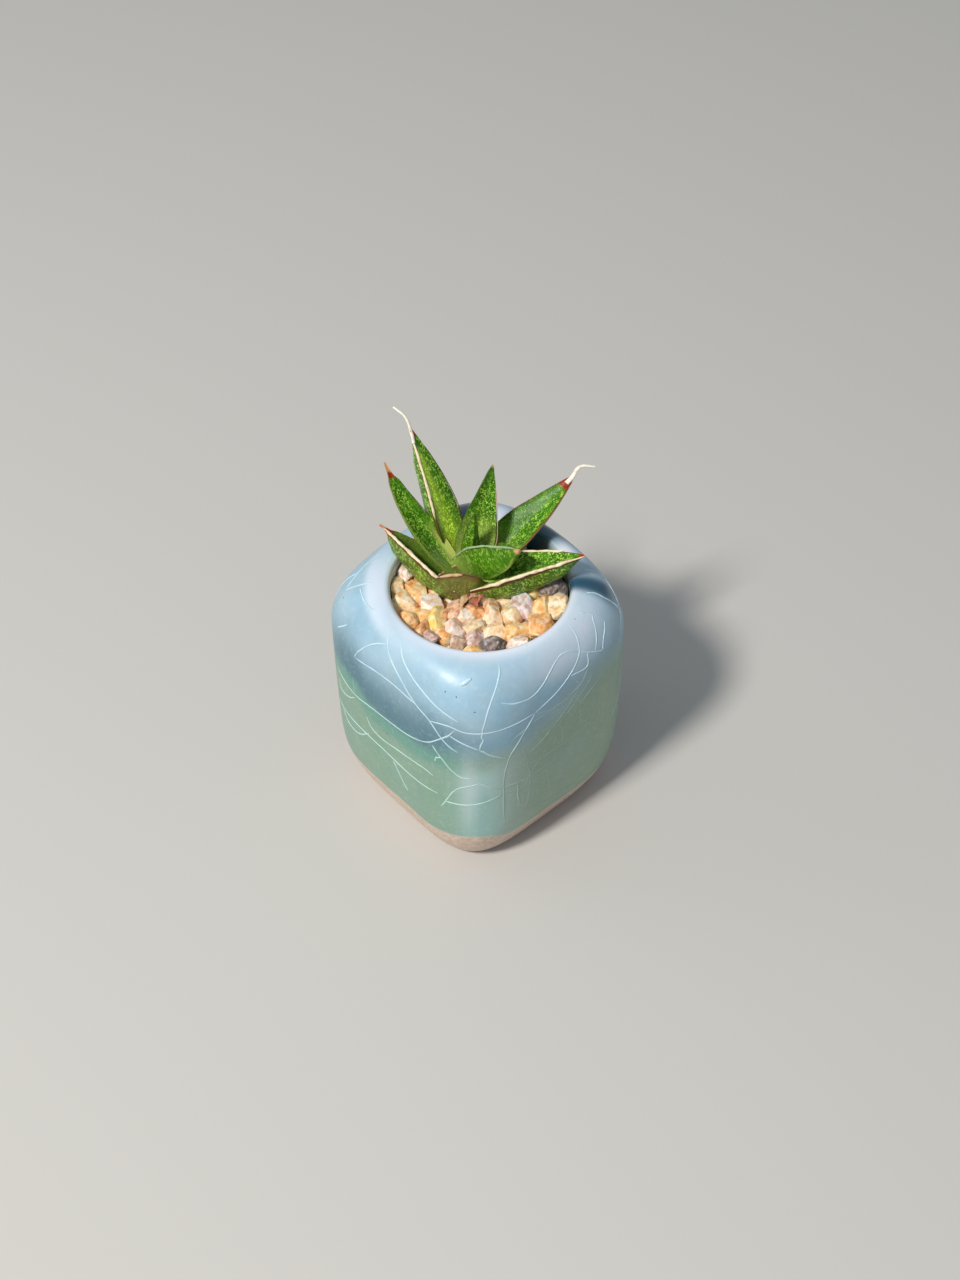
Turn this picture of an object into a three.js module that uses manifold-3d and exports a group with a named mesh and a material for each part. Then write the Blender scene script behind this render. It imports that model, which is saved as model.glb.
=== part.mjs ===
import * as THREE from "three";
import { mergeVertices } from "three/addons/utils/BufferGeometryUtils.js";
import Module from "manifold-3d";

const wasm = await Module();
wasm.setup();

// Potted haworthia: a rounded-square glazed pot, soil, a bed of coarse stones and a rosette of nine leaves.
// Millimetres, +Z up. The origin is the centre of the pot's foot, and the pot's flat faces look along X and Y.

// ---- Driving dimensions ----
const POT_HALF_WIDTH = 30;
const POT_HEIGHT = 67.7;
const SHOULDER_DROP = 13.1;
const LIP_RADIUS = 22.8;
const LIP_ROUND = 1.5;
const MOUTH_RADIUS = LIP_RADIUS - LIP_ROUND;
const MOUTH_CENTRE = new THREE.Vector3(0.4, -0.6, 0);
const WALL = 4.7;
const FLOOR_TOP = 5.2;
const DRAIN_HOLES = 3;
const DRAIN_RADIUS = 2.6;
const DRAIN_REACH = 9;
const POT_SIDES = 44;
const GAP = 0.3;

const SOIL_TOP = 59.6;
const GRAVEL_BED_TOP = 61.4;
const GRAVEL_TOP = 64.4;
const STONE_SIZE = 6.4;
const STONE_SPACING = 4.2;

const ROSETTE_TURN = THREE.MathUtils.degToRad(-41.3);
const STEM_CENTRE = [-1.9, 5.6];
const STEM_RADIUS = 4.2;
const STEM_BOTTOM = 44;
const STEM_TOP = 66;
const BLADE_EDGE = 0.7;
const THREAD_RADIUS = 0.4;
const LEAF_STATIONS = 11;
const SHRED_STATIONS = 5;

// ---- Small helpers ----
const rad = THREE.MathUtils.degToRad;
const lerp = THREE.MathUtils.lerp;

// Turns a point of the rosette's own frame into the pot's frame.
function turned(x, y, z) {
  const c = Math.cos(ROSETTE_TURN);
  const s = Math.sin(ROSETTE_TURN);
  return new THREE.Vector3(x * c - y * s, x * s + y * c, z);
}

function makeRandom(seed) {
  let state = seed;
  return () => {
    state = (state * 1664525 + 1013904223) % 4294967296;
    return state / 4294967296;
  };
}

// Value at height z on a line through [z, value] stations.
function along(stations, z) {
  let k = 1;
  while (k < stations.length - 1 && z > stations[k][0]) {
    k += 1;
  }
  const [z0, v0] = stations[k - 1];
  const [z1, v1] = stations[k];
  return lerp(v0, v1, THREE.MathUtils.clamp((z - z0) / (z1 - z0), 0, 1));
}

// Fills a convex loop of point numbers with triangles, one of which holds the middle of the loop.
function fill(loop, index) {
  if (loop.length < 3) {
    return;
  }
  const i = Math.floor(loop.length / 3);
  const j = Math.floor((2 * loop.length) / 3);
  index.push(loop[0], loop[i], loop[j]);
  fill(loop.slice(0, i + 1), index);
  fill(loop.slice(i, j + 1), index);
  fill([...loop.slice(j), loop[0]], index);
}

// Closed skin over a run of rings of equal point counts. Its two ends are filled as they are when convex, or from
// a hub in their middle.
function skin(rings, convex = false) {
  const n = rings[0].length;
  const position = [];
  for (const ring of rings) {
    for (const p of ring) {
      position.push(p.x, p.y, p.z);
    }
  }
  const index = [];
  for (let r = 0; r < rings.length - 1; r += 1) {
    const low = r * n;
    const high = low + n;
    for (let k = 0; k < n; k += 1) {
      const next = (k + 1) % n;
      index.push(low + k, low + next, high + next);
      index.push(low + k, high + next, high + k);
    }
  }
  for (const [ring, first, flip] of [[rings[0], 0, true], [rings.at(-1), (rings.length - 1) * n, false]]) {
    if (convex) {
      const loop = ring.map((_, k) => first + k);
      fill(flip ? loop.reverse() : loop, index);
      continue;
    }
    const centre = new THREE.Vector3();
    ring.forEach((p) => centre.addScaledVector(p, 1 / n));
    const hub = position.length / 3;
    position.push(centre.x, centre.y, centre.z);
    for (let k = 0; k < n; k += 1) {
      const next = (k + 1) % n;
      index.push(hub, flip ? first + next : first + k, flip ? first + k : first + next);
    }
  }
  const geometry = new THREE.BufferGeometry();
  geometry.setAttribute("position", new THREE.Float32BufferAttribute(position, 3));
  geometry.setIndex(index);
  return geometry;
}

function toSolid(geometry) {
  const bare = geometry.clone();
  bare.deleteAttribute("normal");
  bare.deleteAttribute("uv");
  const merged = mergeVertices(bare, 1e-4);
  const vertProperties = new Float32Array(merged.attributes.position.array);
  const triVerts = new Uint32Array(merged.index.array);
  return new wasm.Manifold(new wasm.Mesh({ numProp: 3, vertProperties, triVerts }));
}

function toGeometry(solid) {
  const mesh = solid.getMesh();
  const geometry = new THREE.BufferGeometry();
  geometry.setAttribute("position", new THREE.Float32BufferAttribute(mesh.vertProperties, 3));
  geometry.setIndex(new THREE.Uint32BufferAttribute(mesh.triVerts, 1));
  return geometry;
}

// The biggest piece of a solid that a cut has left in several pieces.
function biggest(solid) {
  return solid.decompose().reduce((best, piece) => (piece.volume() > best.volume() ? piece : best));
}

function rod(radius, low, high, sides, x, y) {
  const geometry = new THREE.CylinderGeometry(radius, radius, high - low, sides);
  geometry.rotateX(Math.PI / 2);
  geometry.translate(x, y, (low + high) / 2);
  return toSolid(geometry);
}

// ---- Pot: rings of a rounded square that turn into a round mouth ----
const OUTER_HALF_WIDTH = [
  [0, 0.805 * POT_HALF_WIDTH],
  [3, 0.857 * POT_HALF_WIDTH],
  [6, 0.9 * POT_HALF_WIDTH],
  [9, 0.932 * POT_HALF_WIDTH],
  [12.5, 0.956 * POT_HALF_WIDTH],
  [18, 0.974 * POT_HALF_WIDTH],
  [30, 0.988 * POT_HALF_WIDTH],
  [50, POT_HALF_WIDTH],
  [POT_HEIGHT, POT_HALF_WIDTH],
];
const OUTER_SQUARENESS = [[0, 4.2], [POT_HEIGHT / 2, 3.95], [POT_HEIGHT, 3.5]];
const SHOULDER_START = POT_HEIGHT - SHOULDER_DROP;

// One ring: half width w, squareness n, and how far it is blended from a circle round the mouth's own centre (0)
// to the rounded square round the origin (1).
function potRing(z, w, n, square = 1, circle = w) {
  const ring = [];
  for (let k = 0; k < POT_SIDES; k += 1) {
    const a = (k / POT_SIDES) * 2 * Math.PI;
    const side = w / (Math.abs(Math.cos(a)) ** n + Math.abs(Math.sin(a)) ** n) ** (1 / n);
    const r = lerp(circle, side, square);
    const point = new THREE.Vector3(r * Math.cos(a), r * Math.sin(a), z);
    ring.push(point.addScaledVector(MOUTH_CENTRE, 1 - square));
  }
  return ring;
}

function outerRing(z, inset = 0) {
  return potRing(z, along(OUTER_HALF_WIDTH, z) - inset, along(OUTER_SQUARENESS, z));
}

// The cavity's rings from the floor up, pulled in by a clearance for what fills the pot.
function cavityRings(clearance, low, high) {
  const stations = [
    [FLOOR_TOP, 19.5, 1],
    [7.5, 22, 1],
    [14, 28.9 - WALL, 1],
    [30, 29.6 - WALL, 1],
    [48, 30 - WALL, 1],
    [54, 24.4, 0.75],
    [58.5, 22.6, 0.35],
    [61, MOUTH_RADIUS, 0],
    [POT_HEIGHT - LIP_ROUND, MOUTH_RADIUS, 0],
  ];
  const widths = stations.map(([z, w]) => [z, w]);
  const blends = stations.map(([z, , b]) => [z, b]);
  const heights = [low, ...stations.map(([z]) => z).filter((z) => z > low + 0.5 && z < high - 0.5), high];
  return heights.map((z) => {
    const w = along(widths, z) - clearance;
    return potRing(z, w, 3.4, along(blends, z), w);
  });
}

// The pot stands on its whole flat foot, which drains through small holes set round the centre.
function makePot() {
  const rings = [];
  rings.push(outerRing(0, 1.4));
  rings.push(outerRing(0.45, 0.45));
  rings.push(outerRing(1.4, 0));
  for (const z of [3, 6, 9, 12.5, 18, 30, 42]) {
    rings.push(outerRing(z));
  }
  const shoulderSteps = 7;
  for (let k = 0; k < shoulderSteps; k += 1) {
    const s = (k / shoulderSteps) * (Math.PI / 2);
    const z = SHOULDER_START + SHOULDER_DROP * Math.sin(s);
    rings.push(potRing(z, POT_HALF_WIDTH, along(OUTER_SQUARENESS, z), Math.cos(s), LIP_RADIUS));
  }
  const lipSteps = 3;
  for (let k = 0; k <= lipSteps; k += 1) {
    const s = Math.PI / 2 + (k / lipSteps) * (Math.PI / 2);
    const r = LIP_RADIUS + LIP_ROUND * Math.cos(s);
    rings.push(potRing(POT_HEIGHT - LIP_ROUND + LIP_ROUND * Math.sin(s), r, 2, 0));
  }
  const inside = cavityRings(0, FLOOR_TOP, POT_HEIGHT - LIP_ROUND);
  inside.pop();
  rings.push(...inside.reverse());
  let pot = toSolid(skin(rings, true));
  for (let k = 0; k < DRAIN_HOLES; k += 1) {
    const a = ((k + 0.25) / DRAIN_HOLES) * 2 * Math.PI;
    const hole = rod(DRAIN_RADIUS, -1, FLOOR_TOP + 1, 16, DRAIN_REACH * Math.cos(a), DRAIN_REACH * Math.sin(a));
    pot = pot.subtract(hole);
  }
  return toGeometry(pot);
}

// ---- Leaves ----
// Each leaf: where its base stands, the way it heads, how it lifts, bends and sways, its length, width and
// thickness, how it is rolled and twisted, how deep its channel is, and the dried thread some of them end in.
const LEAVES = {
  leaf_small_front: {
    base: [0, 2.5, 65], head: 198, lift: 25, bend: 4, sway: 12,
    length: 12, width: 8.4, thick: 4.3, roll: 12, twist: 34, cup: 0.6,
  },
  leaf_second_left: {
    base: [-4.5, 4.7, 66.4], head: 152, lift: 40, bend: 2, sway: -30,
    length: 31, width: 8.4, thick: 3.0, roll: 18, twist: -9, cup: 0.19,
  },
  leaf_short_front: {
    base: [-2.8, 7.2, 66.6], head: -24, lift: 27, bend: 29, sway: -34,
    length: 22.2, width: 10.4, thick: 3.8, roll: -24, twist: -19, cup: 0.7,
  },
  leaf_young_centre: {
    base: [-1.75, 8.1, 67], head: 291, lift: 84.2, bend: -6, sway: 9.7,
    length: 17.3, width: 3.5, thick: 1.9, roll: -13, twist: -4.8, cup: 0.26,
  },
  leaf_low_left: {
    base: [-6.3, 1.1, 65.7], head: 142, lift: 20, bend: -2, sway: 0,
    length: 22, width: 10, thick: 4.6, roll: 26, twist: 8, cup: 0.4,
  },
  leaf_low_right: {
    base: [1.2, 1.3, 64.8], head: 5, lift: 19, bend: 17, sway: -22,
    length: 26.7, width: 10.9, thick: 4.8, roll: -15, twist: 9, cup: 0.56,
  },
  leaf_upright_back: {
    base: [-1.4, 7.6, 66.5], head: 60, lift: 70, bend: -10, sway: 0,
    length: 24.8, width: 9.1, thick: 3.0, roll: 27, twist: 28, cup: 0.22,
  },
  leaf_tall_left: {
    base: [-6, 12.6, 64.9], head: 122, lift: 68, bend: -8, sway: 16,
    length: 33, width: 8.8, thick: 4.2, roll: 24, twist: -11, cup: 0.46,
    thread: [[-16.6, 25.1, 97.2], [-19.3, 26.8, 98.7]],
  },
  leaf_long_right: {
    base: [3.3, 9.5, 66], head: 27, lift: 33, bend: 0, sway: 10,
    length: 27.6, width: 10.3, thick: 3.5, roll: -7, twist: 15, cup: 0.34,
    thread: [[23.9, 22.6, 82.5], [25.3, 23, 83.3], [28.2, 23, 83]],
  },
};
const SHRED = {
  length: 4.6, width: 3.6, thick: 0.5, roll: 0, twist: 25, cup: 0.25, bend: -14, sway: 30,
  stations: SHRED_STATIONS,
};
const SHREDS = [
  { ...SHRED, base: [-0.6, -1.0, 64.9], head: 196, lift: 3 },
  { ...SHRED, base: [-0.9, -0.7, 65.0], head: 248, lift: -2 },
  { ...SHRED, base: [-0.8, -1.2, 64.9], head: -20, lift: 4 },
];
const WIDEST_AT = 0.28;
const BASE_SHARE = 0.7;
const BASE_BACK = 2.5;

// Share of the full width at t along the leaf.
function widthShare(t) {
  if (t < WIDEST_AT) {
    return BASE_SHARE + (1 - BASE_SHARE) * Math.sin((Math.PI / 2) * (Math.max(t, 0) / WIDEST_AT));
  }
  return 1 - ((t - WIDEST_AT) / (1 - WIDEST_AT)) ** 1.35;
}

// Centre line and cross directions of a leaf at its stations, in the rosette's frame.
function leafFrames(leaf) {
  const frames = [];
  const steps = (leaf.stations ?? LEAF_STATIONS) - 1;
  const at = new THREE.Vector3(...leaf.base);
  const forward = (t) => {
    const l = rad(leaf.lift + leaf.bend * t);
    const h = rad(leaf.head + leaf.sway * t);
    return new THREE.Vector3(Math.cos(l) * Math.cos(h), Math.cos(l) * Math.sin(h), Math.sin(l));
  };
  for (let k = 0; k <= steps; k += 1) {
    const t = k / steps;
    if (k > 0) {
      at.addScaledVector(forward(t - 0.5 / steps), leaf.length / steps);
    }
    const h = rad(leaf.head + leaf.sway * t);
    const level = new THREE.Vector3(-Math.sin(h), Math.cos(h), 0);
    const turn = rad(leaf.roll + leaf.twist * t);
    const ahead = forward(t);
    const side = level.clone().applyAxisAngle(ahead, turn);
    const up = new THREE.Vector3().crossVectors(ahead, side);
    frames.push({ t, at: at.clone(), ahead, side, up });
  }
  return frames;
}

const ACROSS_TOP = [1, 0.5, 0, -0.5, -1];
const ACROSS_BELOW = [-1, -0.62, 0, 0.62, 1];

// Closed solid of one leaf: a channelled top, a rounded keel below and blunt margins. Grow makes it fatter.
function leafGeometry(leaf, grow = 0) {
  const rings = [];
  const addRing = (at, side, up, w, cup, keel) => {
    const ring = [];
    for (const s of ACROSS_TOP) {
      ring.push([s * (w + grow), cup * w * s * s + grow]);
    }
    for (const s of ACROSS_BELOW) {
      const edge = cup * w - BLADE_EDGE;
      ring.push([s * (w + grow), lerp(-keel, edge, Math.abs(s) ** 1.7) - grow]);
    }
    rings.push(ring.map(([a, b]) => {
      const p = at.clone().addScaledVector(side, a).addScaledVector(up, b);
      return turned(p.x, p.y, p.z);
    }));
  };
  const frames = leafFrames(leaf);
  const first = frames[0];
  const back = first.at.clone().addScaledVector(first.ahead, -BASE_BACK - grow);
  const baseHalf = (leaf.width / 2) * BASE_SHARE;
  addRing(back, first.side, first.up, baseHalf * 0.8, leaf.cup * 0.6, leaf.thick * 0.5);
  for (const { t, at, side, up } of frames) {
    const share = widthShare(t);
    const w = (leaf.width / 2) * share + 0.35;
    const keel = leaf.thick * (0.35 + 0.65 * share) * Math.min(1, share * 2.2) + BLADE_EDGE / 2;
    addRing(at, side, up, w, leaf.cup, keel);
  }
  const tip = frames.at(-1);
  if (leaf.thread) {
    const path = [tip.at.clone().addScaledVector(tip.ahead, 0.4)];
    leaf.thread.forEach((p) => path.push(new THREE.Vector3(...p)));
    const curve = new THREE.CatmullRomCurve3(path);
    const bits = 4;
    for (let k = 0; k <= bits; k += 1) {
      const r = lerp(THREAD_RADIUS, THREAD_RADIUS * 0.8, k / bits) + grow;
      const ahead = curve.getTangentAt(k / bits);
      const side = tip.side.clone().addScaledVector(ahead, -tip.side.dot(ahead)).normalize();
      const up = new THREE.Vector3().crossVectors(ahead, side);
      const at = curve.getPointAt(k / bits);
      const ring = [];
      const count = ACROSS_TOP.length + ACROSS_BELOW.length;
      for (let j = 0; j < count; j += 1) {
        const a = ((j + 0.5 - ACROSS_TOP.length / 2 + 2) / count) * 2 * Math.PI;
        const p = at.clone().addScaledVector(side, r * Math.cos(a)).addScaledVector(up, r * Math.sin(a));
        ring.push(turned(p.x, p.y, p.z));
      }
      rings.push(ring);
    }
  } else {
    const end = tip.at.clone().addScaledVector(tip.ahead, 0.5 + grow);
    addRing(end, tip.side, tip.up, 0.3, 0, 0.3);
  }
  return skin(rings);
}

// ---- Gravel: a bed with rounded, angular stones sunk into its top ----
function stoneGeometry(random, x, y, r) {
  const ball = new THREE.DodecahedronGeometry(1, 0);
  ball.deleteAttribute("normal");
  ball.deleteAttribute("uv");
  const stone = mergeVertices(ball, 1e-4);
  const stretch = new THREE.Vector3(0.9 + 0.3 * random(), 0.8 + 0.2 * random(), 0.72 + 0.16 * random());
  const tilt = new THREE.Euler(0.5 * (random() - 0.5), 0.5 * (random() - 0.5), Math.PI * random());
  const drop = 0.8 * random();
  const centre = new THREE.Vector3(x, y, GRAVEL_TOP - r * stretch.z - drop);
  const rim = MOUTH_RADIUS - GAP - 0.1;
  const position = stone.attributes.position;
  for (let k = 0; k < position.count; k += 1) {
    const p = new THREE.Vector3().fromBufferAttribute(position, k);
    p.multiplyScalar(0.86 + 0.24 * random()).multiply(stretch).applyEuler(tilt).multiplyScalar(r).add(centre);
    const out = p.clone().sub(MOUTH_CENTRE).setZ(0);
    if (out.length() > rim) {
      p.addScaledVector(out, rim / out.length() - 1);
    }
    position.setXYZ(k, p.x, p.y, Math.max(p.z, SOIL_TOP + GAP + 0.3));
  }
  return stone;
}

function makeGravel() {
  const random = makeRandom(20);
  let gravel = toSolid(skin(cavityRings(GAP, SOIL_TOP + GAP, GRAVEL_BED_TOP), true));
  const placed = [];
  const tries = 3000;
  for (let k = 0; k < tries; k += 1) {
    const r = (STONE_SIZE / 2) * (0.85 + 0.3 * random());
    const reach = (MOUTH_RADIUS - 0.75 * r) * Math.sqrt(random());
    const a = 2 * Math.PI * random();
    const x = MOUTH_CENTRE.x + reach * Math.cos(a);
    const y = MOUTH_CENTRE.y + reach * Math.sin(a);
    const free = placed.every(([px, py]) => Math.hypot(px - x, py - y) > STONE_SPACING);
    if (free) {
      placed.push([x, y]);
      gravel = gravel.add(toSolid(stoneGeometry(random, x, y, r)));
    }
  }
  return gravel;
}

// ---- Cutting neighbours clear of each other ----
const fatLeaves = {};
const leafSolids = {};
for (const [name, leaf] of Object.entries(LEAVES)) {
  let solid = toSolid(leafGeometry(leaf));
  for (const fat of Object.values(fatLeaves)) {
    solid = solid.subtract(fat);
  }
  leafSolids[name] = biggest(solid);
  fatLeaves[name] = toSolid(leafGeometry(leaf, GAP));
}

let shreds = null;
let fatShreds = null;
for (const shred of SHREDS) {
  const solid = toSolid(leafGeometry(shred));
  const fat = toSolid(leafGeometry(shred, GAP));
  shreds = shreds ? shreds.add(solid) : solid;
  fatShreds = fatShreds ? fatShreds.add(fat) : fat;
}

const stemAt = turned(STEM_CENTRE[0], STEM_CENTRE[1], 0);
let stem = rod(STEM_RADIUS, STEM_BOTTOM, STEM_TOP, 24, stemAt.x, stemAt.y);
const stemHole = rod(STEM_RADIUS + GAP, STEM_BOTTOM - GAP, STEM_TOP + 4, 24, stemAt.x, stemAt.y);
let soil = toSolid(skin(cavityRings(GAP, FLOOR_TOP + GAP, SOIL_TOP), true));
soil = soil.subtract(stemHole);
let gravel = makeGravel().subtract(stemHole);
shreds = shreds.subtract(stemHole);
for (const fat of Object.values(fatLeaves)) {
  stem = stem.subtract(fat);
  gravel = gravel.subtract(fat);
  shreds = shreds.subtract(fat);
}
gravel = biggest(gravel.subtract(fatShreds));
shreds = biggest(shreds);
stem = biggest(stem);

// ---- Scene graph ----
const PLANT_GREEN = 0x5f8f2a;
const group = new THREE.Group();

function addPiece(name, geometry, color, roughness) {
  const mesh = new THREE.Mesh(geometry, new THREE.MeshStandardMaterial({ color, roughness, metalness: 0 }));
  geometry.computeVertexNormals();
  mesh.name = name;
  group.add(mesh);
}

addPiece("pot", makePot(), 0x9fb9c4, 0.25);
addPiece("potting_soil", toGeometry(soil), 0x3b2a1e, 0.95);
addPiece("gravel_top_dressing", toGeometry(gravel), 0xe8b98a, 0.75);
addPiece("stem_with_roots", toGeometry(stem), 0x9a8a5c, 0.8);
addPiece("dried_leaf_remnants", toGeometry(shreds), 0x9c5a38, 0.85);
for (const [name, solid] of Object.entries(leafSolids)) {
  addPiece(name, toGeometry(solid), PLANT_GREEN, 0.45);
}

export default group;
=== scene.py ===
"""Potted haworthia: the looks of the pot, its crackled glaze, the gravel and the rosette of leaves."""

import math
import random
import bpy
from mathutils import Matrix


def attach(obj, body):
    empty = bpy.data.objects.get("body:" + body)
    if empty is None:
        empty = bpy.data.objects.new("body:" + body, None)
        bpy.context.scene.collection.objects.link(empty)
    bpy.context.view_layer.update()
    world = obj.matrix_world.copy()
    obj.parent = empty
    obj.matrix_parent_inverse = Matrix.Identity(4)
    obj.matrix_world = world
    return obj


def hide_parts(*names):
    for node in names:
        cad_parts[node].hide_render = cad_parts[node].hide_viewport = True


bl_info = {
    "name": "Potted Haworthia",
    "version": (1, 0, 0),
    "blender": (4, 5, 0),
    "location": "3D View > Sidebar > Haworthia",
    "description": "Builds a small keeled, mottled succulent in gravel in a crackle-glazed pot",
    "category": "Add Mesh",
}

import bmesh
import bpy
from bpy.props import FloatProperty, FloatVectorProperty, IntProperty, PointerProperty
from mathutils import Euler, Matrix, Vector, noise

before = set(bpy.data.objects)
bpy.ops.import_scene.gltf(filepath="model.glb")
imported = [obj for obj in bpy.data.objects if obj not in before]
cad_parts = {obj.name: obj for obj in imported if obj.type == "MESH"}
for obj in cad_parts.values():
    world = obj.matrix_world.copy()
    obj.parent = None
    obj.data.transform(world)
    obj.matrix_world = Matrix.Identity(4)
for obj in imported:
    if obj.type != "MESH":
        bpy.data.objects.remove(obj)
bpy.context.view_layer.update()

MM = 0.001
BODY = "root"

# ---------------------------------------------------------------- measures of the pot, in millimetres

POT_HALF = 30.0
POT_HEIGHT = 67.7
SHOULDER_DROP = 13.1
SHOULDER_START = POT_HEIGHT - SHOULDER_DROP
LIP_RADIUS = 22.8
LIP_ROUND = 1.5
MOUTH_RADIUS = LIP_RADIUS - LIP_ROUND
MOUTH_CENTRE = Vector((0.4, -0.6, 0))
FOOT_ROUND = 1.3
CLAY_LINE = 1.6
CLAY_STEP = 0.16
FLOOR_TOP = 5.2
DRAIN_HOLES = 3
DRAIN_RADIUS = 2.6
DRAIN_REACH = 9.0
POT_SIDES = 176
# Half width of the outside at each height, as a share of POT_HALF.
OUTER_HALF = (
    (0, 0.805), (3, 0.857), (6, 0.9), (9, 0.932), (12.5, 0.956),
    (18, 0.974), (30, 0.988), (50, 1.0), (70, 1.0),
)
# Power of the rounded square that the outside follows at each height: 2 would be round.
SQUARENESS = ((0, 4.2), (33.85, 3.95), (67.7, 3.5))
# The inside at each height: half width, and how far it is square, from 0 for round to 1.
CAVITY_POWER = 3.4
CAVITY = (
    (5.2, 19.5, 1), (7.5, 22, 1), (14, 24.2, 1), (30, 24.9, 1), (48, 25.3, 1),
    (54, 24.4, 0.75), (58.5, 22.6, 0.35), (61, MOUTH_RADIUS, 0), (66.2, MOUTH_RADIUS, 0),
)
# Height and half width of the last two rings, where the inner wall rounds into the floor.
CAVITY_FLOOR = ((6.2, 21.2), (FLOOR_TOP, 19.4))

# ---------------------------------------------------------------- glaze of the pot

# Directions round the pot in degrees, counted from +X towards +Y.
LEFT_FACE_TURN = 181
FRONT_CORNER_TURN = 231
FRONT_LIP_TURN = 235
RIGHT_FACE_TURN = 285
# Crackle lines on the sides that show: direction and height in mm of the points along each.
CRACKS = (
    ((135, 64), (128, 65.5), (114, 67)),
    ((136, 63.5), (138, 67.4)),
    ((147, 57.5), (152, 61)),
    ((139, 66.3), (152, 66.5), (158, 67)),
    ((161, 54.7), (164.5, 58.6), (170, 62.5), (178, 65)),
    ((161, 54.7), (177, 56.5), (190, 57.2), (202, 56.6)),
    ((174, 67), (180, 64), (192, 60.2), (202, 56.6), (209, 54.3), (216, 49), (221, 46.7)),
    ((183, 67), (192, 64), (207, 60.6), (222, 57)),
    ((144, 41.8), (158, 40), (172, 41.2), (195, 43), (207, 45.7), (216, 51.2), (220, 54.2)),
    ((209, 54.2), (217, 55.2), (225, 54), (239, 53.2), (254, 53)),
    ((254, 53), (267, 55.5), (278, 59.6), (283, 63), (285, 67.4)),
    ((238.4, 67.4), (238, 66), (234, 62.3), (231, 56.5), (230, 53), (230.5, 51), (229, 48)),
    ((218, 52), (229, 48)),
    ((229, 48), (234, 45.2), (241, 41.6)),
    ((238, 61), (245, 59.3), (254, 59), (265, 62.6), (271, 64.1), (277, 63.7), (282, 62.1)),
    ((282, 62), (290, 59.4), (294.5, 58)),
    ((296, 67.4), (299.4, 66), (297, 64.9), (290, 59.4)),
    ((302, 63.5), (296, 60.1), (294.5, 58)),
    ((286, 60.5), (284, 57), (275, 57.4)),
    ((210, 46), (215, 42), (221, 38), (226, 37.4)),
    ((166, 35.3), (169, 32.7), (176, 31.8), (189, 33.2), (204, 34.6), (210, 34)),
    ((145.5, 38.3), (146.5, 35.4), (151, 35.4), (155, 36.6), (158.3, 38.5)),
    ((141.5, 28.2), (155, 28), (176, 28), (200, 27.4), (212, 28)),
    ((146, 27.4), (150, 24.5), (155.3, 24.2), (160, 25.4), (166.7, 29)),
    ((229, 35.4), (221, 33), (216, 27.5), (213, 23.3)),
    ((215, 26.4), (226, 27), (239, 28.6)),
    ((229, 35.4), (236, 32), (247, 30)),
    ((254, 53), (246, 46.5), (241, 41), (239.3, 35), (239, 28), (240, 15)),
    ((246, 30), (246, 27), (247, 21)),
    ((184, 27), (194, 19.5)),
    ((214, 43), (212, 42), (211, 40.3)),
    ((328.5, 67.4), (328.3, 67), (329.2, 65.3), (328.9, 63.4)),
    ((311.3, 67.4), (312.3, 66.7), (313.1, 64.9), (314.7, 61.4), (315.5, 57)),
)
# The fainter ones: a short one on the left face, and those low under the glaze of the right face.
FAINT_CRACKS = (
    ((158.5, 46), (158.6, 42.5), (159, 39.6)),
    ((247, 30), (272, 29.4)),
    ((241, 41.6), (256, 38), (265, 38), (281, 39)),
    ((255, 52), (268, 50), (284, 53)),
    ((254, 45.7), (265, 43.7), (290, 43.5)),
    ((241, 37.3), (256, 34.3), (275, 33.8), (294, 34.4)),
    ((276, 56.4), (281, 53), (287, 58.9)),
    ((239, 28.6), (256, 25.6), (266, 24)),
    ((263, 26.3), (265, 17)),
    ((266, 35.7), (276, 30.5), (294, 28)),
    ((248, 18), (260, 14.8), (285, 12.7)),
    ((296, 40.6), (295, 35), (298, 28.6)),
    ((267, 45), (271.6, 38.4), (271, 34)),
)
# Crackle laid by rule: seed, how many lines, from and to which direction, and up to which height.
BACK_CRACKS = (7, 30, -55, 132, 66)
RIGHT_CRACKS = (3, 12, 244, 296, 54)
# Where the blue glaze has run over the green, round the pot: height, and over what height the two mix.
BLUE_LINE = (
    (0, 46, 7), (45, 43, 8), (90, 45, 6), (125, 46, 5), (142, 45.5, 4),
    (152, 47.5, 4), (161, 46, 4), (168, 42.3, 4), (190, 42.6, 4), (205, 43.4, 5),
    (215, 45, 8), (230, 45.5, 10), (241, 44, 12), (252, 44.5, 14), (265, 47, 15),
    (286, 52, 15), (300, 53, 13), (325, 50, 9), (360, 46, 7),
)
# Height up to which the glaze is thin enough to show the clay, round the pot.
THIN_LINE = (
    (0, 7.5), (60, 8), (120, 8.5), (160, 10.5), (190, 11.6), (206, 11.2), (220, 12.6),
    (227, 13), (234, 11.9), (241, 9.2), (252, 8.6), (275, 7.8), (320, 8), (360, 7.5),
)
# Painted shadows of the leaves on the lip, in dark teal: direction, half breadth in degrees and how dark.
PAINTED_LIP_SHADOWS = ((11, 18.5, 0.95), (60, 11, 0.95), (317.5, 6.2, 1.0))
# Painted highlights at the back of the lip, pale patches of glare: direction and half breadth in degrees,
# reach from the mouth's middle and half breadth in mm, and how pale.
PAINTED_LIP_HIGHLIGHTS = ((344, 12, 23.4, 2.6, 0.9), (36, 11, 24, 5, 0.75))
# Dark specks in the glaze, and the one bead of glaze on the shoulder, in mm.
SPECKS = (
    (-29.8, 2.4, 38.1), (-29.7, -0.6, 36), (-22.9, -24.9, 60), (-25.8, -17.9, 63.2),
    (-24.7, -20.5, 62.8), (-24.4, 20.8, 63), (-5.1, -23, 67.6), (9.2, -23.9, 67.2),
    (21.5, 23.5, 61), (29.9, -4, 31), (6, 29.8, 44),
)
SHOULDER_MIDDLE = Vector((0, 0, 45))
BEAD = ((-22.9, -19.9, 64.9), (-22, -20.3, 65.3), (-21.2, -20.5, 65.6), (-20.2, -20.8, 66))
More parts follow.
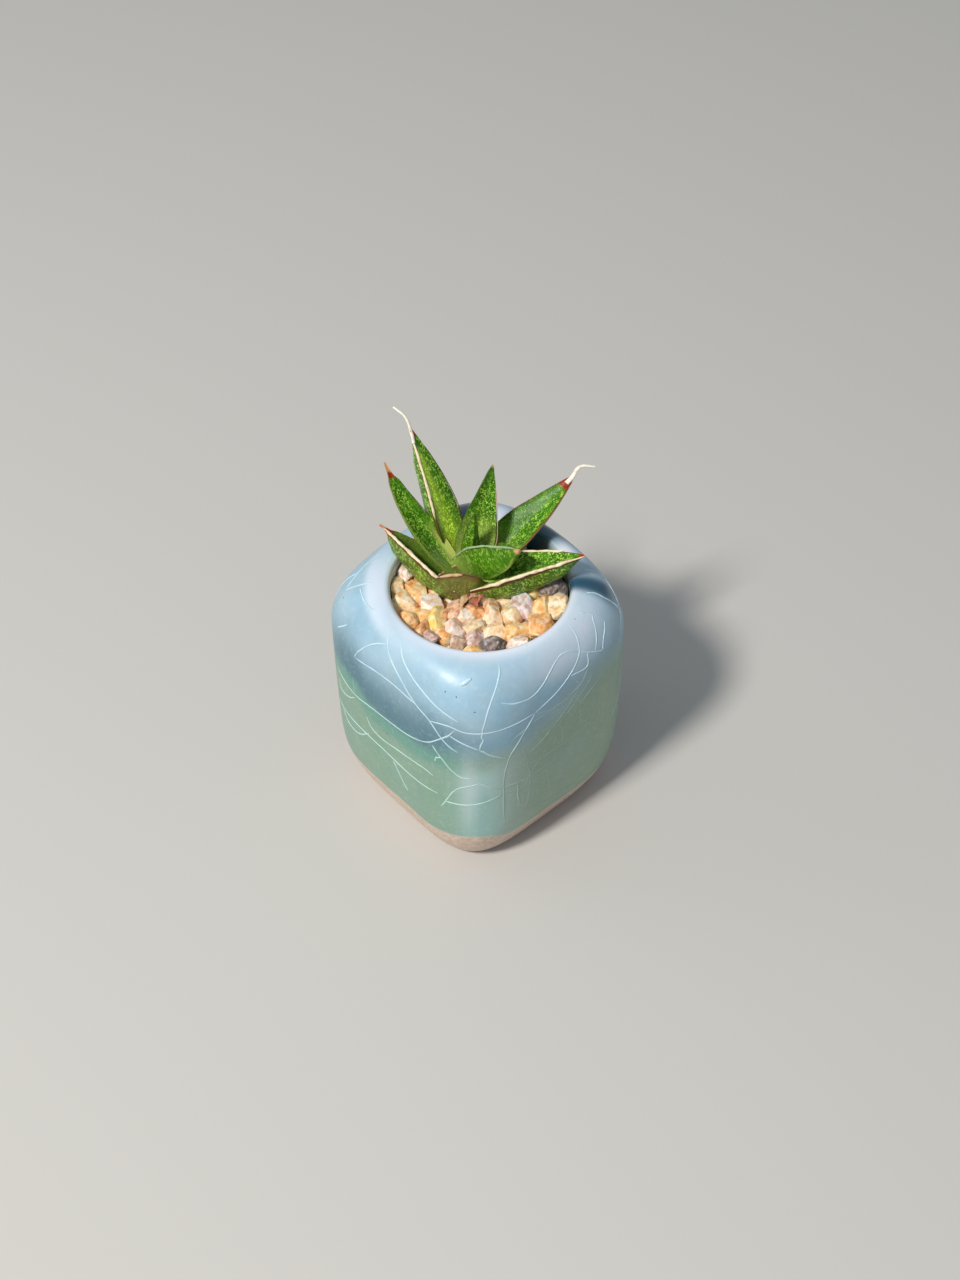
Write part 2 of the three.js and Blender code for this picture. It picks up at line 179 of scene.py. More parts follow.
# What the glaze runs into, beside the colours of the sidebar, and the dark teal of the painted shadows on the
# lip.
# The pale and the turquoise also serve for painted highlights.
GLAZE_TINTS = {
    "cloudy blue": (0.38, 0.54, 0.65),
    "bright blue": (0.22, 0.45, 0.6),
    "cloudy green": (0.27, 0.4, 0.28),
    "grey green": (0.3, 0.41, 0.37),
    "teal": (0.13, 0.33, 0.265),
    "turquoise": (0.29, 0.54, 0.5),
    "streak": (0.2, 0.3, 0.3),
    "mist": (0.7, 0.8, 0.8),
    # partly thin glaze, partly painted highlight and sheen
    "pale": (0.82, 0.86, 0.97),
    "pit": (0.05, 0.06, 0.06),
    "inner wall": (0.5, 0.57, 0.55),
    # painted shadow of the leaves on the lip
    "painted_shadow": (0.018, 0.08, 0.135),
    "thin glaze": (0.66, 0.66, 0.57),
    "light clay": (0.76, 0.59, 0.48),
    "bare clay": (0.72, 0.58, 0.47),
    "blue line": (0.58, 0.79, 0.92),
    "worn line": (0.44, 0.62, 0.64),
    "dull line": (0.34, 0.46, 0.39),
    "speck": (0.02, 0.025, 0.03),
    "light speck": (0.07, 0.08, 0.08),
}

# ---------------------------------------------------------------- measures of the plant, in millimetres

ROSETTE_TURN = math.radians(-41.3)
# Each leaf's base point, heading, lift, bend, sway, length, width, thickness, roll, twist and cup, with
# angles in degrees. Tone is how spotted, how olive and how plainly brown-lined it is. Tip is the share of the
# length from which it turns red, and from which tan. Margins are the half thickness and tint of the left and
# the right one. PLAIN_LEAF tells the rest.
LEAVES = {
    "leaf_small_front": dict(
        base=(0, 2.5, 65), head=198, lift=25, bend=4, sway=12, length=12, width=8.4, thick=4.3,
        roll=12, twist=34, cup=0.6, tone=(0.2, 0.8, 0.4), tip=(1.2, 1.2),
        margins=((0.13, "maroon"), (0.3, "pink")), fray=(0, 0.6, 1, 0.3, 0.4, "pink"),
    ),
    "leaf_second_left": dict(
        base=(-4.5, 4.7, 66.4), head=152, lift=40, bend=2, sway=-30, length=31, width=8.4, thick=3.0,
        roll=18, twist=-9, cup=0.19, tone=(0.9, 0, 0.15), tip=(0.87, 0.925), spike=0.84,
        band=(-1, 0.15, 0.5, 1), plain=(-1, 0.2, 0.7),
        margins=((0.1, "olive"), (0.1, "maroon")),
    ),
    "leaf_short_front": dict(
        base=(-2.8, 7.2, 66.6), head=-24, lift=27, bend=29, sway=-34, length=22.2, width=10.4, thick=3.8,
        roll=-24, twist=-19, cup=0.7, tone=(0.45, 0, 0.1), tip=(1.2, 0.93),
        # The pale line along its keel is a painted highlight.
        keel_highlight=(0.08, 0.14, 0.75), margins=((0.14, "tan"), (0.34, "rim")),
    ),
    "leaf_young_centre": dict(
        base=(-1.75, 8.1, 67), head=291, lift=84.2, bend=-6, sway=9.7, length=17.3, width=3.5, thick=1.9,
        roll=-13, twist=-4.8, cup=0.26, tone=(0.6, 0, 0.2), tip=(1.2, 1.2),
        margins=((0.08, "green"), (0.08, "green")),
    ),
    "leaf_low_left": dict(
        base=(-6.3, 1.1, 65.7), head=142, lift=20, bend=-2, sway=0, length=22, width=10, thick=4.6,
        roll=26, twist=8, cup=0.4, tone=(0.6, 0.4, 1), tip=(0.85, 0.94), spike=0.84,
        # Its upper face is darker, partly by its own dark tone and partly as painted shade.
        upper_tone_and_shade=(0.2, -0.05), margins=((0.46, "cream"), (0.13, "maroon")),
    ),
    "leaf_low_right": dict(
        base=(1.2, 1.3, 64.8), head=5, lift=19, bend=17, sway=-22, length=26.7, width=10.9, thick=4.8,
        roll=-15, twist=9, cup=0.56, tone=(0.85, 0.05, 1), tip=(0.955, 1.2), burnt=0.1, fill=0.35,
        margins=((0.32, "cream"), (0.44, "cream")), fray=(0, 0.7, 0.88, 1.2, 0.24, "ivory"),
    ),
    "leaf_upright_back": dict(
        base=(-1.4, 7.6, 66.5), head=60, lift=70, bend=-10, sway=0, length=24.8, width=9.1, thick=3.0,
        roll=27, twist=28, cup=0.22, tone=(0.85, 0, 0.1), tip=(1.2, 0.992), band=(1, -1.6, 0.6, 0.35),
        margins=((0.1, "green"), (0.1, "pink")),
    ),
    "leaf_tall_left": dict(
        base=(-6, 12.6, 64.9), head=122, lift=68, bend=-8, sway=16, length=33, width=8.8, thick=4.2,
        roll=24, twist=-11, cup=0.46, tone=(0.9, 0, 1), tip=(0.93, 1), glow=1, fill=0.7,
        plain=(1, 0, 0.7), root=0,
        margins=((0.38, "cream"), (0.11, "russet")), hidden=0.34, thread_half=(0.46, 0.3),
        thread=((-16.6, 25.1, 97.2), (-19.3, 26.8, 98.7)),
    ),
    "leaf_long_right": dict(
        base=(3.3, 9.5, 66), head=27, lift=33, bend=0, sway=10, length=27.6, width=10.3, thick=3.5,
        roll=-7, twist=15, cup=0.34, tone=(0.8, 0, 0.6), tip=(0.87, 1), plain=(1, 0, 0.6),
        margins=((0.1, "maroon"), (0.11, "russet")), thread_half=(0.82, 0.3),
        thread=((23.9, 22.6, 82.5), (25.3, 23, 83.3), (28.2, 23, 83)),
    ),
}
# What a leaf has where its row in LEAVES says nothing else. Sides are 1 for the left and -1 for the right.
PLAIN_LEAF = dict(
    spike=1,  # share of the length from which the tip narrows to a spike
    fill=0,  # how far the channel is filled up
    band=None,  # pale band: side, from which share of the width, up to which share of the length, how pale
    # The keel line below is a painted highlight where the keel catches the light.
    keel_highlight=None,  # pale line along the keel: place across, half breadth and how pale
    glow=0,  # how much sunlight comes through the channel
    plain=(0, 0, 0),  # fewer spots on the upper face: side, from which share of the width, how many fewer
    # The upper face's darker tone below is partly its own colour and partly painted shade.
    upper_tone_and_shade=(1, 0),  # share of the spots that the upper face keeps, and how much more olive it is
    hidden=0,  # share of the length along which the left margin is sunk in the leaf
    burnt=None,  # how brown the margins turn at the tip, where it isn't worked out from the tip
    fray=None,  # loose edge: margin, begin, end, rise, half thickness and tint
    root=None,  # margin that the dried thread grows from
    thread=None,  # points of the dried thread beyond the tip
    thread_half=None,  # half thickness of the thread at its root and at its end
)
MARGIN_TINTS = {
    "ivory": (0.92, 0.87, 0.74),
    "cream": (0.87, 0.75, 0.51),
    "tan": (0.51, 0.3, 0.13),
    "maroon": (0.12, 0.035, 0.015),
    "rim": (0.3, 0.46, 0.22),
    "olive": (0.2, 0.25, 0.05),
    "green": (0.06, 0.17, 0.015),
    "russet": (0.33, 0.12, 0.05),
    "pink": (0.72, 0.45, 0.28),
}
# What the leaf skin is mixed from, beside the colours of the sidebar.
LEAF_TINTS = {
    "light green": (0.055, 0.21, 0.004),
    "under green": (0.07, 0.17, 0.006),
    "olive": (0.2, 0.155, 0.05),
    "green spot": (0.3, 0.6, 0.04),
    "base": (0.44, 0.58, 0.13),
    # also the painted highlight along a keel
    "band": (0.66, 0.76, 0.18),
    "sunlit": (0.3, 0.6, 0.04),
    "glow": (0.36, 0.5, 0.03),
    "brown line": (0.13, 0.04, 0.012),
    "dark tip": (0.16, 0.02, 0.008),
    "tan tip": (0.66, 0.36, 0.15),
}
# Share of the length where a leaf is widest, its width at the base as a share of that, how far it reaches
# back into the stem and on beyond its last frame, and how thick the edge of the blade is.
WIDEST_AT = 0.28
BASE_SHARE = 0.7
BASE_BACK = 2.5
TIP_BEYOND = 0.45
BLADE_EDGE = 0.7
LEAF_STEPS = 64
TOP_POINTS = 20
UNDER_POINTS = 24
# Shreds of old leaf bases: base point, heading in degrees, length and width.
SHREDS = (
    (-0.6, -1.0, 196, 4.8, 3.6), (-0.9, -0.7, 248, 4.4, 3.2), (-0.8, -1.2, -20, 4.2, 3.0),
    (1.2, -1.4, 215, 3.6, 2.4), (-2.4, -0.2, 172, 3.8, 2.8),
)
SHRED_HEIGHT = 65.0

# ---------------------------------------------------------------- stones, in millimetres

GRAVEL_TOP = 64.4
GRAVEL_FLOOR = 59.7
WALL_GAP = 0.25
# Loose stones under and behind those that show: how far down each layer lies, and how often one is tried.
FILL_LAYERS = ((0.0, 2600), (-2.3, 1600))
FILL_DEPTH = 2.4
FILL_TINTS = (
    "cream", "orange", "amber", "peach", "blush", "yellow", "white", "coral", "amber", "peach", "mauve",
)
# Dark and light colour of each kind of stone.
STONE_TINTS = {
    "blush": ((0.86, 0.64, 0.52), (0.95, 0.87, 0.8)),
    "cream": ((0.9, 0.64, 0.34), (0.96, 0.87, 0.66)),
    "orange": ((0.86, 0.42, 0.13), (0.95, 0.7, 0.38)),
    "amber": ((0.88, 0.5, 0.16), (0.95, 0.76, 0.42)),
    "yellow": ((0.88, 0.62, 0.14), (0.95, 0.85, 0.44)),
    "rust": ((0.62, 0.26, 0.08), (0.86, 0.5, 0.24)),
    "coral": ((0.82, 0.38, 0.2), (0.92, 0.64, 0.44)),
    "white": ((0.9, 0.74, 0.56), (0.96, 0.92, 0.82)),
    "peach": ((0.88, 0.53, 0.27), (0.95, 0.78, 0.54)),
    "lilac": ((0.66, 0.56, 0.58), (0.88, 0.83, 0.85)),
    "mauve": ((0.54, 0.36, 0.32), (0.76, 0.6, 0.56)),
    "grey": ((0.42, 0.27, 0.18), (0.76, 0.6, 0.47)),
    "slate": ((0.11, 0.085, 0.08), (0.42, 0.34, 0.31)),
}
# Stones that show in front of the plant: centre x and y, breadth, depth and tint.
STONES = (
    (-8.2, 18.4, 6.2, 6.4, "blush"), (-13.1, 14.4, 4.4, 5.6, "cream"), (-10.0, 11.1, 5.9, 6.0, "orange"),
    (-14.8, 10.1, 5.2, 5.6, "cream"), (-9.7, 5.5, 5.4, 5.6, "blush"), (-14.3, 4.9, 6.2, 6.4, "amber"),
    (-12.9, -0.3, 4.0, 6.8, "yellow"), (-9.4, 0.6, 2.8, 5.2, "rust"), (-6.8, -0.1, 4.0, 5.2, "coral"),
    (-18.3, 4.7, 4.4, 4.8, "orange"), (-16.9, 0.2, 4.0, 4.4, "rust"), (-6.6, -3.4, 3.4, 4.0, "white"),
    (-3.9, -4.0, 4.4, 4.4, "rust"), (-1.3, -6.4, 5.2, 6.0, "peach"), (2.1, -8.8, 4.8, 6.4, "cream"),
    (5.9, -9.5, 5.0, 6.4, "lilac"), (9.3, -12.6, 6.0, 6.4, "amber"), (11.4, -15.6, 4.6, 5.8, "cream"),
    (4.2, -17.0, 5.2, 6.4, "orange"), (-0.6, -15.0, 5.2, 5.8, "amber"), (-4.6, -12.0, 5.8, 5.0, "cream"),
    (-7.8, -7.0, 4.6, 4.2, "cream"), (-11.2, -4.6, 3.9, 4.4, "blush"), (-14.8, -4.0, 3.8, 4.0, "orange"),
    (-13.2, -8.4, 4.3, 4.3, "grey"), (-9.2, -10.4, 4.2, 4.4, "mauve"), (-9.0, -15.0, 5.8, 4.8, "slate"),
    # The slate stone at (14.6, -10.3) is painted shade: a dark stone where the shadow of leaf_low_right
    # falls.
    (-3.4, -18.4, 4.2, 3.6, "blush"), (14.6, -10.3, 5.2, 5.6, "slate"), (16.6, -8.0, 4.0, 5.0, "mauve"),
    (-17.2, -3.6, 3.4, 3.6, "mauve"),
)

# ---------------------------------------------------------------- camera and lights

CAMERA_PLACE = Vector((-208.4, -238.1, 392.6))
CAMERA_TILT = math.radians(47.5)
CAMERA_LEAN = math.radians(-0.35)
CAMERA_LENS = 54.08
# The way that each lamp shines from in the rosette's own frame, its distance and breadth in metres, and tint.
KEY_LAMP = ((-0.56, -0.56, 1.0), 1.3, 0.2, (1.0, 0.96, 0.9))
FILL_LAMP = ((-0.9, 0.25, 0.62), 1.2, 0.6, (0.9, 0.95, 1.0))
SKY_TINT = (0.84, 0.92, 1.0, 1)
SKY_STRENGTH = 0.35
FLOOR_REACH = 3.0


# ---------------------------------------------------------------- settings shown in the sidebar


class PotSettings(bpy.types.PropertyGroup):
    """Glaze and foot of the pot"""

    glaze_high: FloatVectorProperty(
        name="Upper glaze", description="Pale blue glaze of the shoulder", subtype="COLOR", size=3,
        default=(0.31, 0.5, 0.64), min=0, max=1,
    )
    glaze_deep: FloatVectorProperty(
        name="Deep glaze", description="Dusty blue where the glaze has pooled", subtype="COLOR", size=3,
        default=(0.07, 0.184, 0.246), min=0, max=1,
    )
    glaze_low: FloatVectorProperty(
        name="Lower glaze", description="Celadon green of the lower pot", subtype="COLOR", size=3,
        default=(0.235, 0.37, 0.265), min=0, max=1,
    )
    clay: FloatVectorProperty(
        name="Clay", description="Clay of the foot, and under thin glaze", subtype="COLOR", size=3,
        default=(0.6, 0.41, 0.31), min=0, max=1,
    )
    crackle: FloatVectorProperty(
        name="Crackle", description="Pale lines in the glaze", subtype="COLOR", size=3,
        default=(0.52, 0.78, 0.69), min=0, max=1,
    )
    crackle_width: FloatProperty(
        name="Crackle width", description="Width of a crackle line", default=0.5 * MM, min=0.05 * MM,
        max=1.0 * MM, precision=5, subtype="DISTANCE", unit="LENGTH",
    )


class PlantSettings(bpy.types.PropertyGroup):
    """Colours of the leaves"""

    green: FloatVectorProperty(
        name="Leaf green", description="Ground colour of the leaves", subtype="COLOR", size=3,
        default=(0.026, 0.135, 0.002), min=0, max=1,
    )
    spots: FloatVectorProperty(
        name="Spots", description="Pale mottling of the leaves", subtype="COLOR", size=3,
        default=(0.6, 0.85, 0.14), min=0, max=1,
    )
    tip: FloatVectorProperty(
        name="Tip", description="Sunburnt red of the leaf tips", subtype="COLOR", size=3,
        default=(0.36, 0.035, 0.008), min=0, max=1,
    )


class GravelSettings(bpy.types.PropertyGroup):
    """The stones round the plant"""

    spacing: FloatProperty(
        name="Spacing", description="Least distance between two stones", default=3.7 * MM, min=2 * MM,
        max=10 * MM, precision=4, subtype="DISTANCE", unit="LENGTH",
    )
    seed: IntProperty(name="Seed", description="Seed of the random stones", default=11, min=0)


class StageSettings(bpy.types.PropertyGroup):
    """Floor, lights and camera"""

    floor: FloatVectorProperty(
        name="Floor", description="Colour of the floor", subtype="COLOR", size=3,
        default=(0.56, 0.545, 0.52), min=0, max=1,
    )
    key: FloatProperty(
        name="Key light", description="Power of the main light", default=16.0, min=0, unit="POWER",
    )
    fill: FloatProperty(
        name="Fill light", description="Power of the soft light", default=0.8, min=0, unit="POWER",
    )


# ---------------------------------------------------------------- small geometry tools


def blend(a, b, k):
    """From a to b by the share k."""
    return a + (b - a) * k


def clamp(x, low=0.0, high=1.0):
    """The value, kept between low and high."""
    return max(low, min(high, x))


def smooth(k):
    """Eased step from 0 to 1 as k goes from 0 to 1."""
    k = clamp(k)
    return k * k * (3 - 2 * k)


def hump(value, centre, wide):
    """One at the centre, falling away smoothly on both sides."""
    return math.exp(-(((value - centre) / wide) ** 2))


def along(stations, z, column=1):
    """Value at z between stations whose first entry is the height or the direction."""
    for low, high in zip(stations, stations[1:]):
        if z <= high[0]:
            return blend(low[column], high[column], clamp((z - low[0]) / (high[0] - low[0])))
    return stations[-1][column]


def eased(stations, z):
    """As along, but through a smooth curve, so no ring shows a kink."""
    n = len(stations)
    k = next((i for i in range(1, n - 1) if z <= stations[i][0]), n - 1)
    z0, v0 = stations[k - 1]
    z1, v1 = stations[k]
    before = stations[k - 2] if k > 1 else (2 * z0 - z1, 2 * v0 - v1)
    after = stations[k + 1] if k + 1 < n else (2 * z1 - z0, v1)
    m0 = (v1 - before[1]) / (z1 - before[0])
    m1 = (after[1] - v0) / (after[0] - z0)
    h = z1 - z0
    t = clamp((z - z0) / h)
    return (
        (2 * t**3 - 3 * t**2 + 1) * v0 + (t**3 - 2 * t**2 + t) * h * m0
        + (-2 * t**3 + 3 * t**2) * v1 + (t**3 - t**2) * h * m1
    )


def curve_through(points, per_span):
    """Points on a smooth curve through the given vectors."""
    made = []
    n = len(points)
    for k in range(n - 1):
        p0 = points[k - 1] if k else points[0] * 2 - points[1]
        p1, p2 = points[k], points[k + 1]
        p3 = points[k + 2] if k + 2 < n else p2 * 2 - p1
        for j in range(per_span):
            t = j / per_span
            made.append(
                0.5 * (2 * p1 + (p2 - p0) * t + (2 * p0 - 5 * p1 + 4 * p2 - p3) * t**2
                       + (3 * p1 - p0 - 3 * p2 + p3) * t**3)
            )
    made.append(points[-1].copy())
    return made


class Shell:
    """Points and faces of one piece in millimetres, a finish for each face and marks for each point."""

    def __init__(self):
        self.points = []
        self.faces = []
        self.finishes = []
        self.marks = {}

    def skin(self, rings, finish=0, **marks):
        """Closed skin over rings of equal counts. Marks hold one vector for each point, ring by ring."""
        start = len(self.points)
        n = len(rings[0])
        for ring in rings:
            self.points.extend(ring)
        for k in range(len(rings) - 1):
            a = start + k * n
            b = a + n
            for j in range(n):
                i = (j + 1) % n
                self.faces.append((a + j, a + i, b + i, b + j))
                self.finishes.append(finish)
        last = start + (len(rings) - 1) * n
        self.faces.append(tuple(start + j for j in reversed(range(n))))
        self.faces.append(tuple(last + j for j in range(n)))
        self.finishes += [finish, finish]
        for name, values in marks.items():
            row = self.marks.setdefault(name, [])
            row.extend([(0, 0, 0)] * (start - len(row)))
            row.extend(values)

    def tube(self, path, radius, finish=0, sides=8, flat=1.0, up=None, **marks):
        """A closed tube along a path. Radius and marks are functions of the share of the way."""
        rings = []
        found = {name: [] for name in marks}
        side = None
        for k, p in enumerate(path):
            share = k / (len(path) - 1)
            ahead = (path[min(k + 1, len(path) - 1)] - path[max(k - 1, 0)]).normalized()
            hint = up(k) if up else (side or Vector((0.31, 0.2, 0.93)))
            across = ahead.cross(hint).normalized()
            rise = across.cross(ahead)
            side = rise
            r = radius(share)
            ring = []
            for j in range(sides):
                a = 2 * math.pi * j / sides
                ring.append(p + across * (r * math.cos(a)) - rise * (r * flat * math.sin(a)))
            rings.append(ring)
            for name, value in marks.items():
                found[name].extend([value(share)] * sides)
        self.skin(rings, finish, **found)

    def mesh(self, name):
        """The points and faces as a smooth mesh, in metres."""
        mesh = bpy.data.meshes.new(name)
        mesh.from_pydata([p * MM for p in self.points], [], self.faces)
        mesh.polygons.foreach_set("material_index", self.finishes)
        mesh.polygons.foreach_set("use_smooth", [True] * len(self.faces))
        for mark, values in self.marks.items():
            values = values + [(0, 0, 0)] * (len(self.points) - len(values))
            layer = mesh.attributes.new(mark, "FLOAT_VECTOR", "POINT")
            layer.data.foreach_set("vector", [c for v in values for c in v])
        mesh.validate()
        return mesh

    def piece(self, name, finishes, crease=None):
        """The piece as an object that rides on the part."""
        mesh = self.mesh(name)
        for finish in finishes:
            mesh.materials.append(finish)
        if crease:
            mesh.set_sharp_from_angle(angle=math.radians(crease))
        made = bpy.data.objects.new(name, mesh)
        bpy.context.scene.collection.objects.link(made)
        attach(made, BODY)
        return made


# ---------------------------------------------------------------- finishes


class Finish:
    """A material under construction: its nodes, its shader and short ways to join them."""

    def __init__(self, name, roughness=0.5, **sockets):
        self.material = bpy.data.materials.new(name)
        self.material.use_nodes = True
        self.tree = self.material.node_tree
        self.shader = next(n for n in self.tree.nodes if n.type == "BSDF_PRINCIPLED")
        self.shader.inputs["Roughness"].default_value = roughness
        for socket, value in sockets.items():
            self.shader.inputs[socket.replace("_", " ")].default_value = value

    def node(self, kind, inputs=(), **settings):
        """A new shader node with its inputs fed and its settings made."""
        made = self.tree.nodes.new("ShaderNode" + kind)
        for key, value in settings.items():
            setattr(made, key, value)
        for key, value in dict(inputs).items():
            self.feed(made.inputs[key], value)
        return made

    def feed(self, socket, value):
        """Joins a socket to another, or gives it a number or a colour."""
        if isinstance(value, bpy.types.NodeSocket):
            self.tree.links.new(value, socket)
        elif socket.type == "RGBA" and hasattr(value, "__len__") and len(value) == 3:
            socket.default_value = (*value, 1)
        else:
            socket.default_value = value

    def place(self):
        return self.node("TexCoord").outputs["Object"]

    def mark(self, name):
        return self.node("Attribute", attribute_name=name).outputs["Vector"]

    def parts(self, vector):
        return self.node("SeparateXYZ", {0: vector}).outputs

    def maths(self, operation, a, b=0.0, c=0.0):
        return self.node("Math", {0: a, 1: b, 2: c}, operation=operation).outputs[0]

    def product(self, a, b):
        return self.maths("MULTIPLY", a, b)

    def ramp(self, value, low, high, start=0.0, end=1.0):
        """Eased change from start to end as the value goes from low to high."""
        inputs = {0: value, 1: low, 2: high, 3: start, 4: end}
        return self.node("MapRange", inputs, interpolation_type="SMOOTHSTEP").outputs[0]

    def stretch(self, vector, scale):
        return self.node("VectorMath", {0: vector, 1: scale}, operation="MULTIPLY").outputs[0]

    def noise(self, vector, scale, detail=3.0, rough=0.55, distortion=0.0):
        inputs = {"Vector": vector, "Scale": scale, "Detail": detail, "Roughness": rough}
        return self.node("TexNoise", {**inputs, "Distortion": distortion}).outputs["Fac"]

    def cells(self, vector, scale, feature="F1", output="Distance"):
        inputs = {"Vector": vector, "Scale": scale}
        return self.node("TexVoronoi", inputs, feature=feature).outputs[output]

    def mix(self, k, a, b):
        """From colour a to colour b by k."""
        return self.node("MixRGB", {0: k, 1: a, 2: b}).outputs[0]

    def darkened(self, colour, by):
        """The colour multiplied by another."""
        return self.node("MixRGB", {0: 1.0, 1: colour, 2: by}, blend_type="MULTIPLY").outputs[0]

    def colour(self, value):
        self.feed(self.shader.inputs["Base Color"], value)

    def roughness(self, value):
        self.feed(self.shader.inputs["Roughness"], value)

    def bump(self, height, distance, strength=1.0):
        made = self.node("Bump", {"Height": height, "Distance": distance, "Strength": strength})
        self.tree.links.new(made.outputs[0], self.shader.inputs["Normal"])


def glaze_finish(look):
    """Runny blue-over-green glaze with specks and fine crazing, thin over the clay of the foot."""
    f = Finish("crackle_glaze", 0.42, Coat_Weight=0.12, Coat_Roughness=0.28)
    tint = GLAZE_TINTS
    place = f.place()
    green, deep, thin = f.parts(f.mark("glaze_zone"))
    pale, inside, bare = f.parts(f.mark("glaze_paleness_sheen_inside_bare"))
    painted_shadow, teal, corner_tint_and_sheen = f.parts(f.mark("glaze_shadow_teal_corner"))
    cloud = f.noise(place, 70, 4, 0.6)
    blue = f.mix(f.ramp(cloud, 0.34, 0.66), look.glaze_high, tint["cloudy blue"])
    blue = f.mix(f.ramp(f.noise(place, 38, 2), 0.5, 0.68, 0.0, 0.6), blue, tint["bright blue"])
    blue = f.mix(deep, blue, look.glaze_deep)
    celadon = f.mix(f.ramp(cloud, 0.3, 0.7), look.glaze_low, tint["cloudy green"])
    celadon = f.mix(f.ramp(f.noise(place, 55, 3), 0.5, 0.7, 0.0, 0.5), celadon, tint["grey green"])
    celadon = f.mix(teal, celadon, tint["teal"])
    # Lighter turquoise up the front corner: partly the glaze's own colour, partly a painted highlight.
    celadon = f.mix(f.product(corner_tint_and_sheen, 0.9), celadon, tint["turquoise"])
    colour = f.mix(green, blue, celadon)
    streak = f.ramp(f.noise(f.stretch(place, (1, 1, 0.25)), 160, 2), 0.45, 0.75, 0.0, 0.16)
    colour = f.mix(streak, colour, tint["streak"])
    mist = f.ramp(f.noise(place, 800, 3, 0.7), 0.5, 0.72, 0.0, 0.14)
    colour = f.mix(mist, colour, tint["mist"])
    # Paler glaze: thin over the corners and the mouth's edge, and painted highlights and sheen on the lip.
    colour = f.mix(pale, colour, tint["pale"])
    craze_edge = f.cells(f.stretch(place, (1, 1, 0.55)), 150, "DISTANCE_TO_EDGE")
    colour = f.mix(f.ramp(craze_edge, 0.0, 0.014, 0.08, 0.0), colour, look.crackle)
    pits = f.ramp(f.cells(place, 260), 0.03, 0.08, 0.6, 0.0)
    rare = f.ramp(f.noise(place, 90, 1), 0.62, 0.68)
    colour = f.mix(f.product(pits, rare), colour, tint["pit"])
    colour = f.mix(f.product(inside, 0.75), colour, tint["inner wall"])
    # Painted shadow: dark teal where the shadows of the leaves fall on the lip.
    colour = f.mix(painted_shadow, colour, tint["painted_shadow"])
    clay = f.mix(f.ramp(f.noise(place, 900, 3), 0.35, 0.7), look.clay, tint["light clay"])
    ragged = f.ramp(f.maths("MULTIPLY_ADD", f.noise(place, 300, 3), 0.5, thin), 0.6, 0.95)
    colour = f.mix(f.ramp(thin, 0.1, 0.6, 0.0, 0.6), colour, tint["thin glaze"])
    colour = f.mix(f.product(ragged, 0.88), colour, clay)
    colour = f.mix(bare, colour, f.mix(0.5, clay, tint["bare clay"]))
    f.colour(colour)
    f.roughness(f.maths("MULTIPLY_ADD", painted_shadow, -0.25, f.ramp(bare, 0.0, 1.0, 0.42, 0.8)))
    f.bump(f.noise(place, 220, 3), 0.00025, 0.3)
    return f.material


def crackle_finish(look):
    """Milky line of crackle, bluer in the blue glaze, brighter and duller along its way."""
    f = Finish("crackle_line", 0.25)
    tint = GLAZE_TINTS
    dull, blue, _ = f.parts(f.mark("crackle_tone"))
    worn = f.ramp(f.noise(f.place(), 240, 2), 0.3, 0.7, 0.0, 0.5)
    bright = f.mix(worn, f.mix(blue, look.crackle, tint["blue line"]), tint["worn line"])
    f.colour(f.mix(dull, bright, tint["dull line"]))
    return f.material


def speck_finish():
    """Dark iron speck burnt into the glaze."""
    f = Finish("glaze_speck", 0.3)
    grain = f.ramp(f.noise(f.place(), 2500, 2), 0.4, 0.6)
    f.colour(f.mix(grain, GLAZE_TINTS["speck"], GLAZE_TINTS["light speck"]))
    return f.material


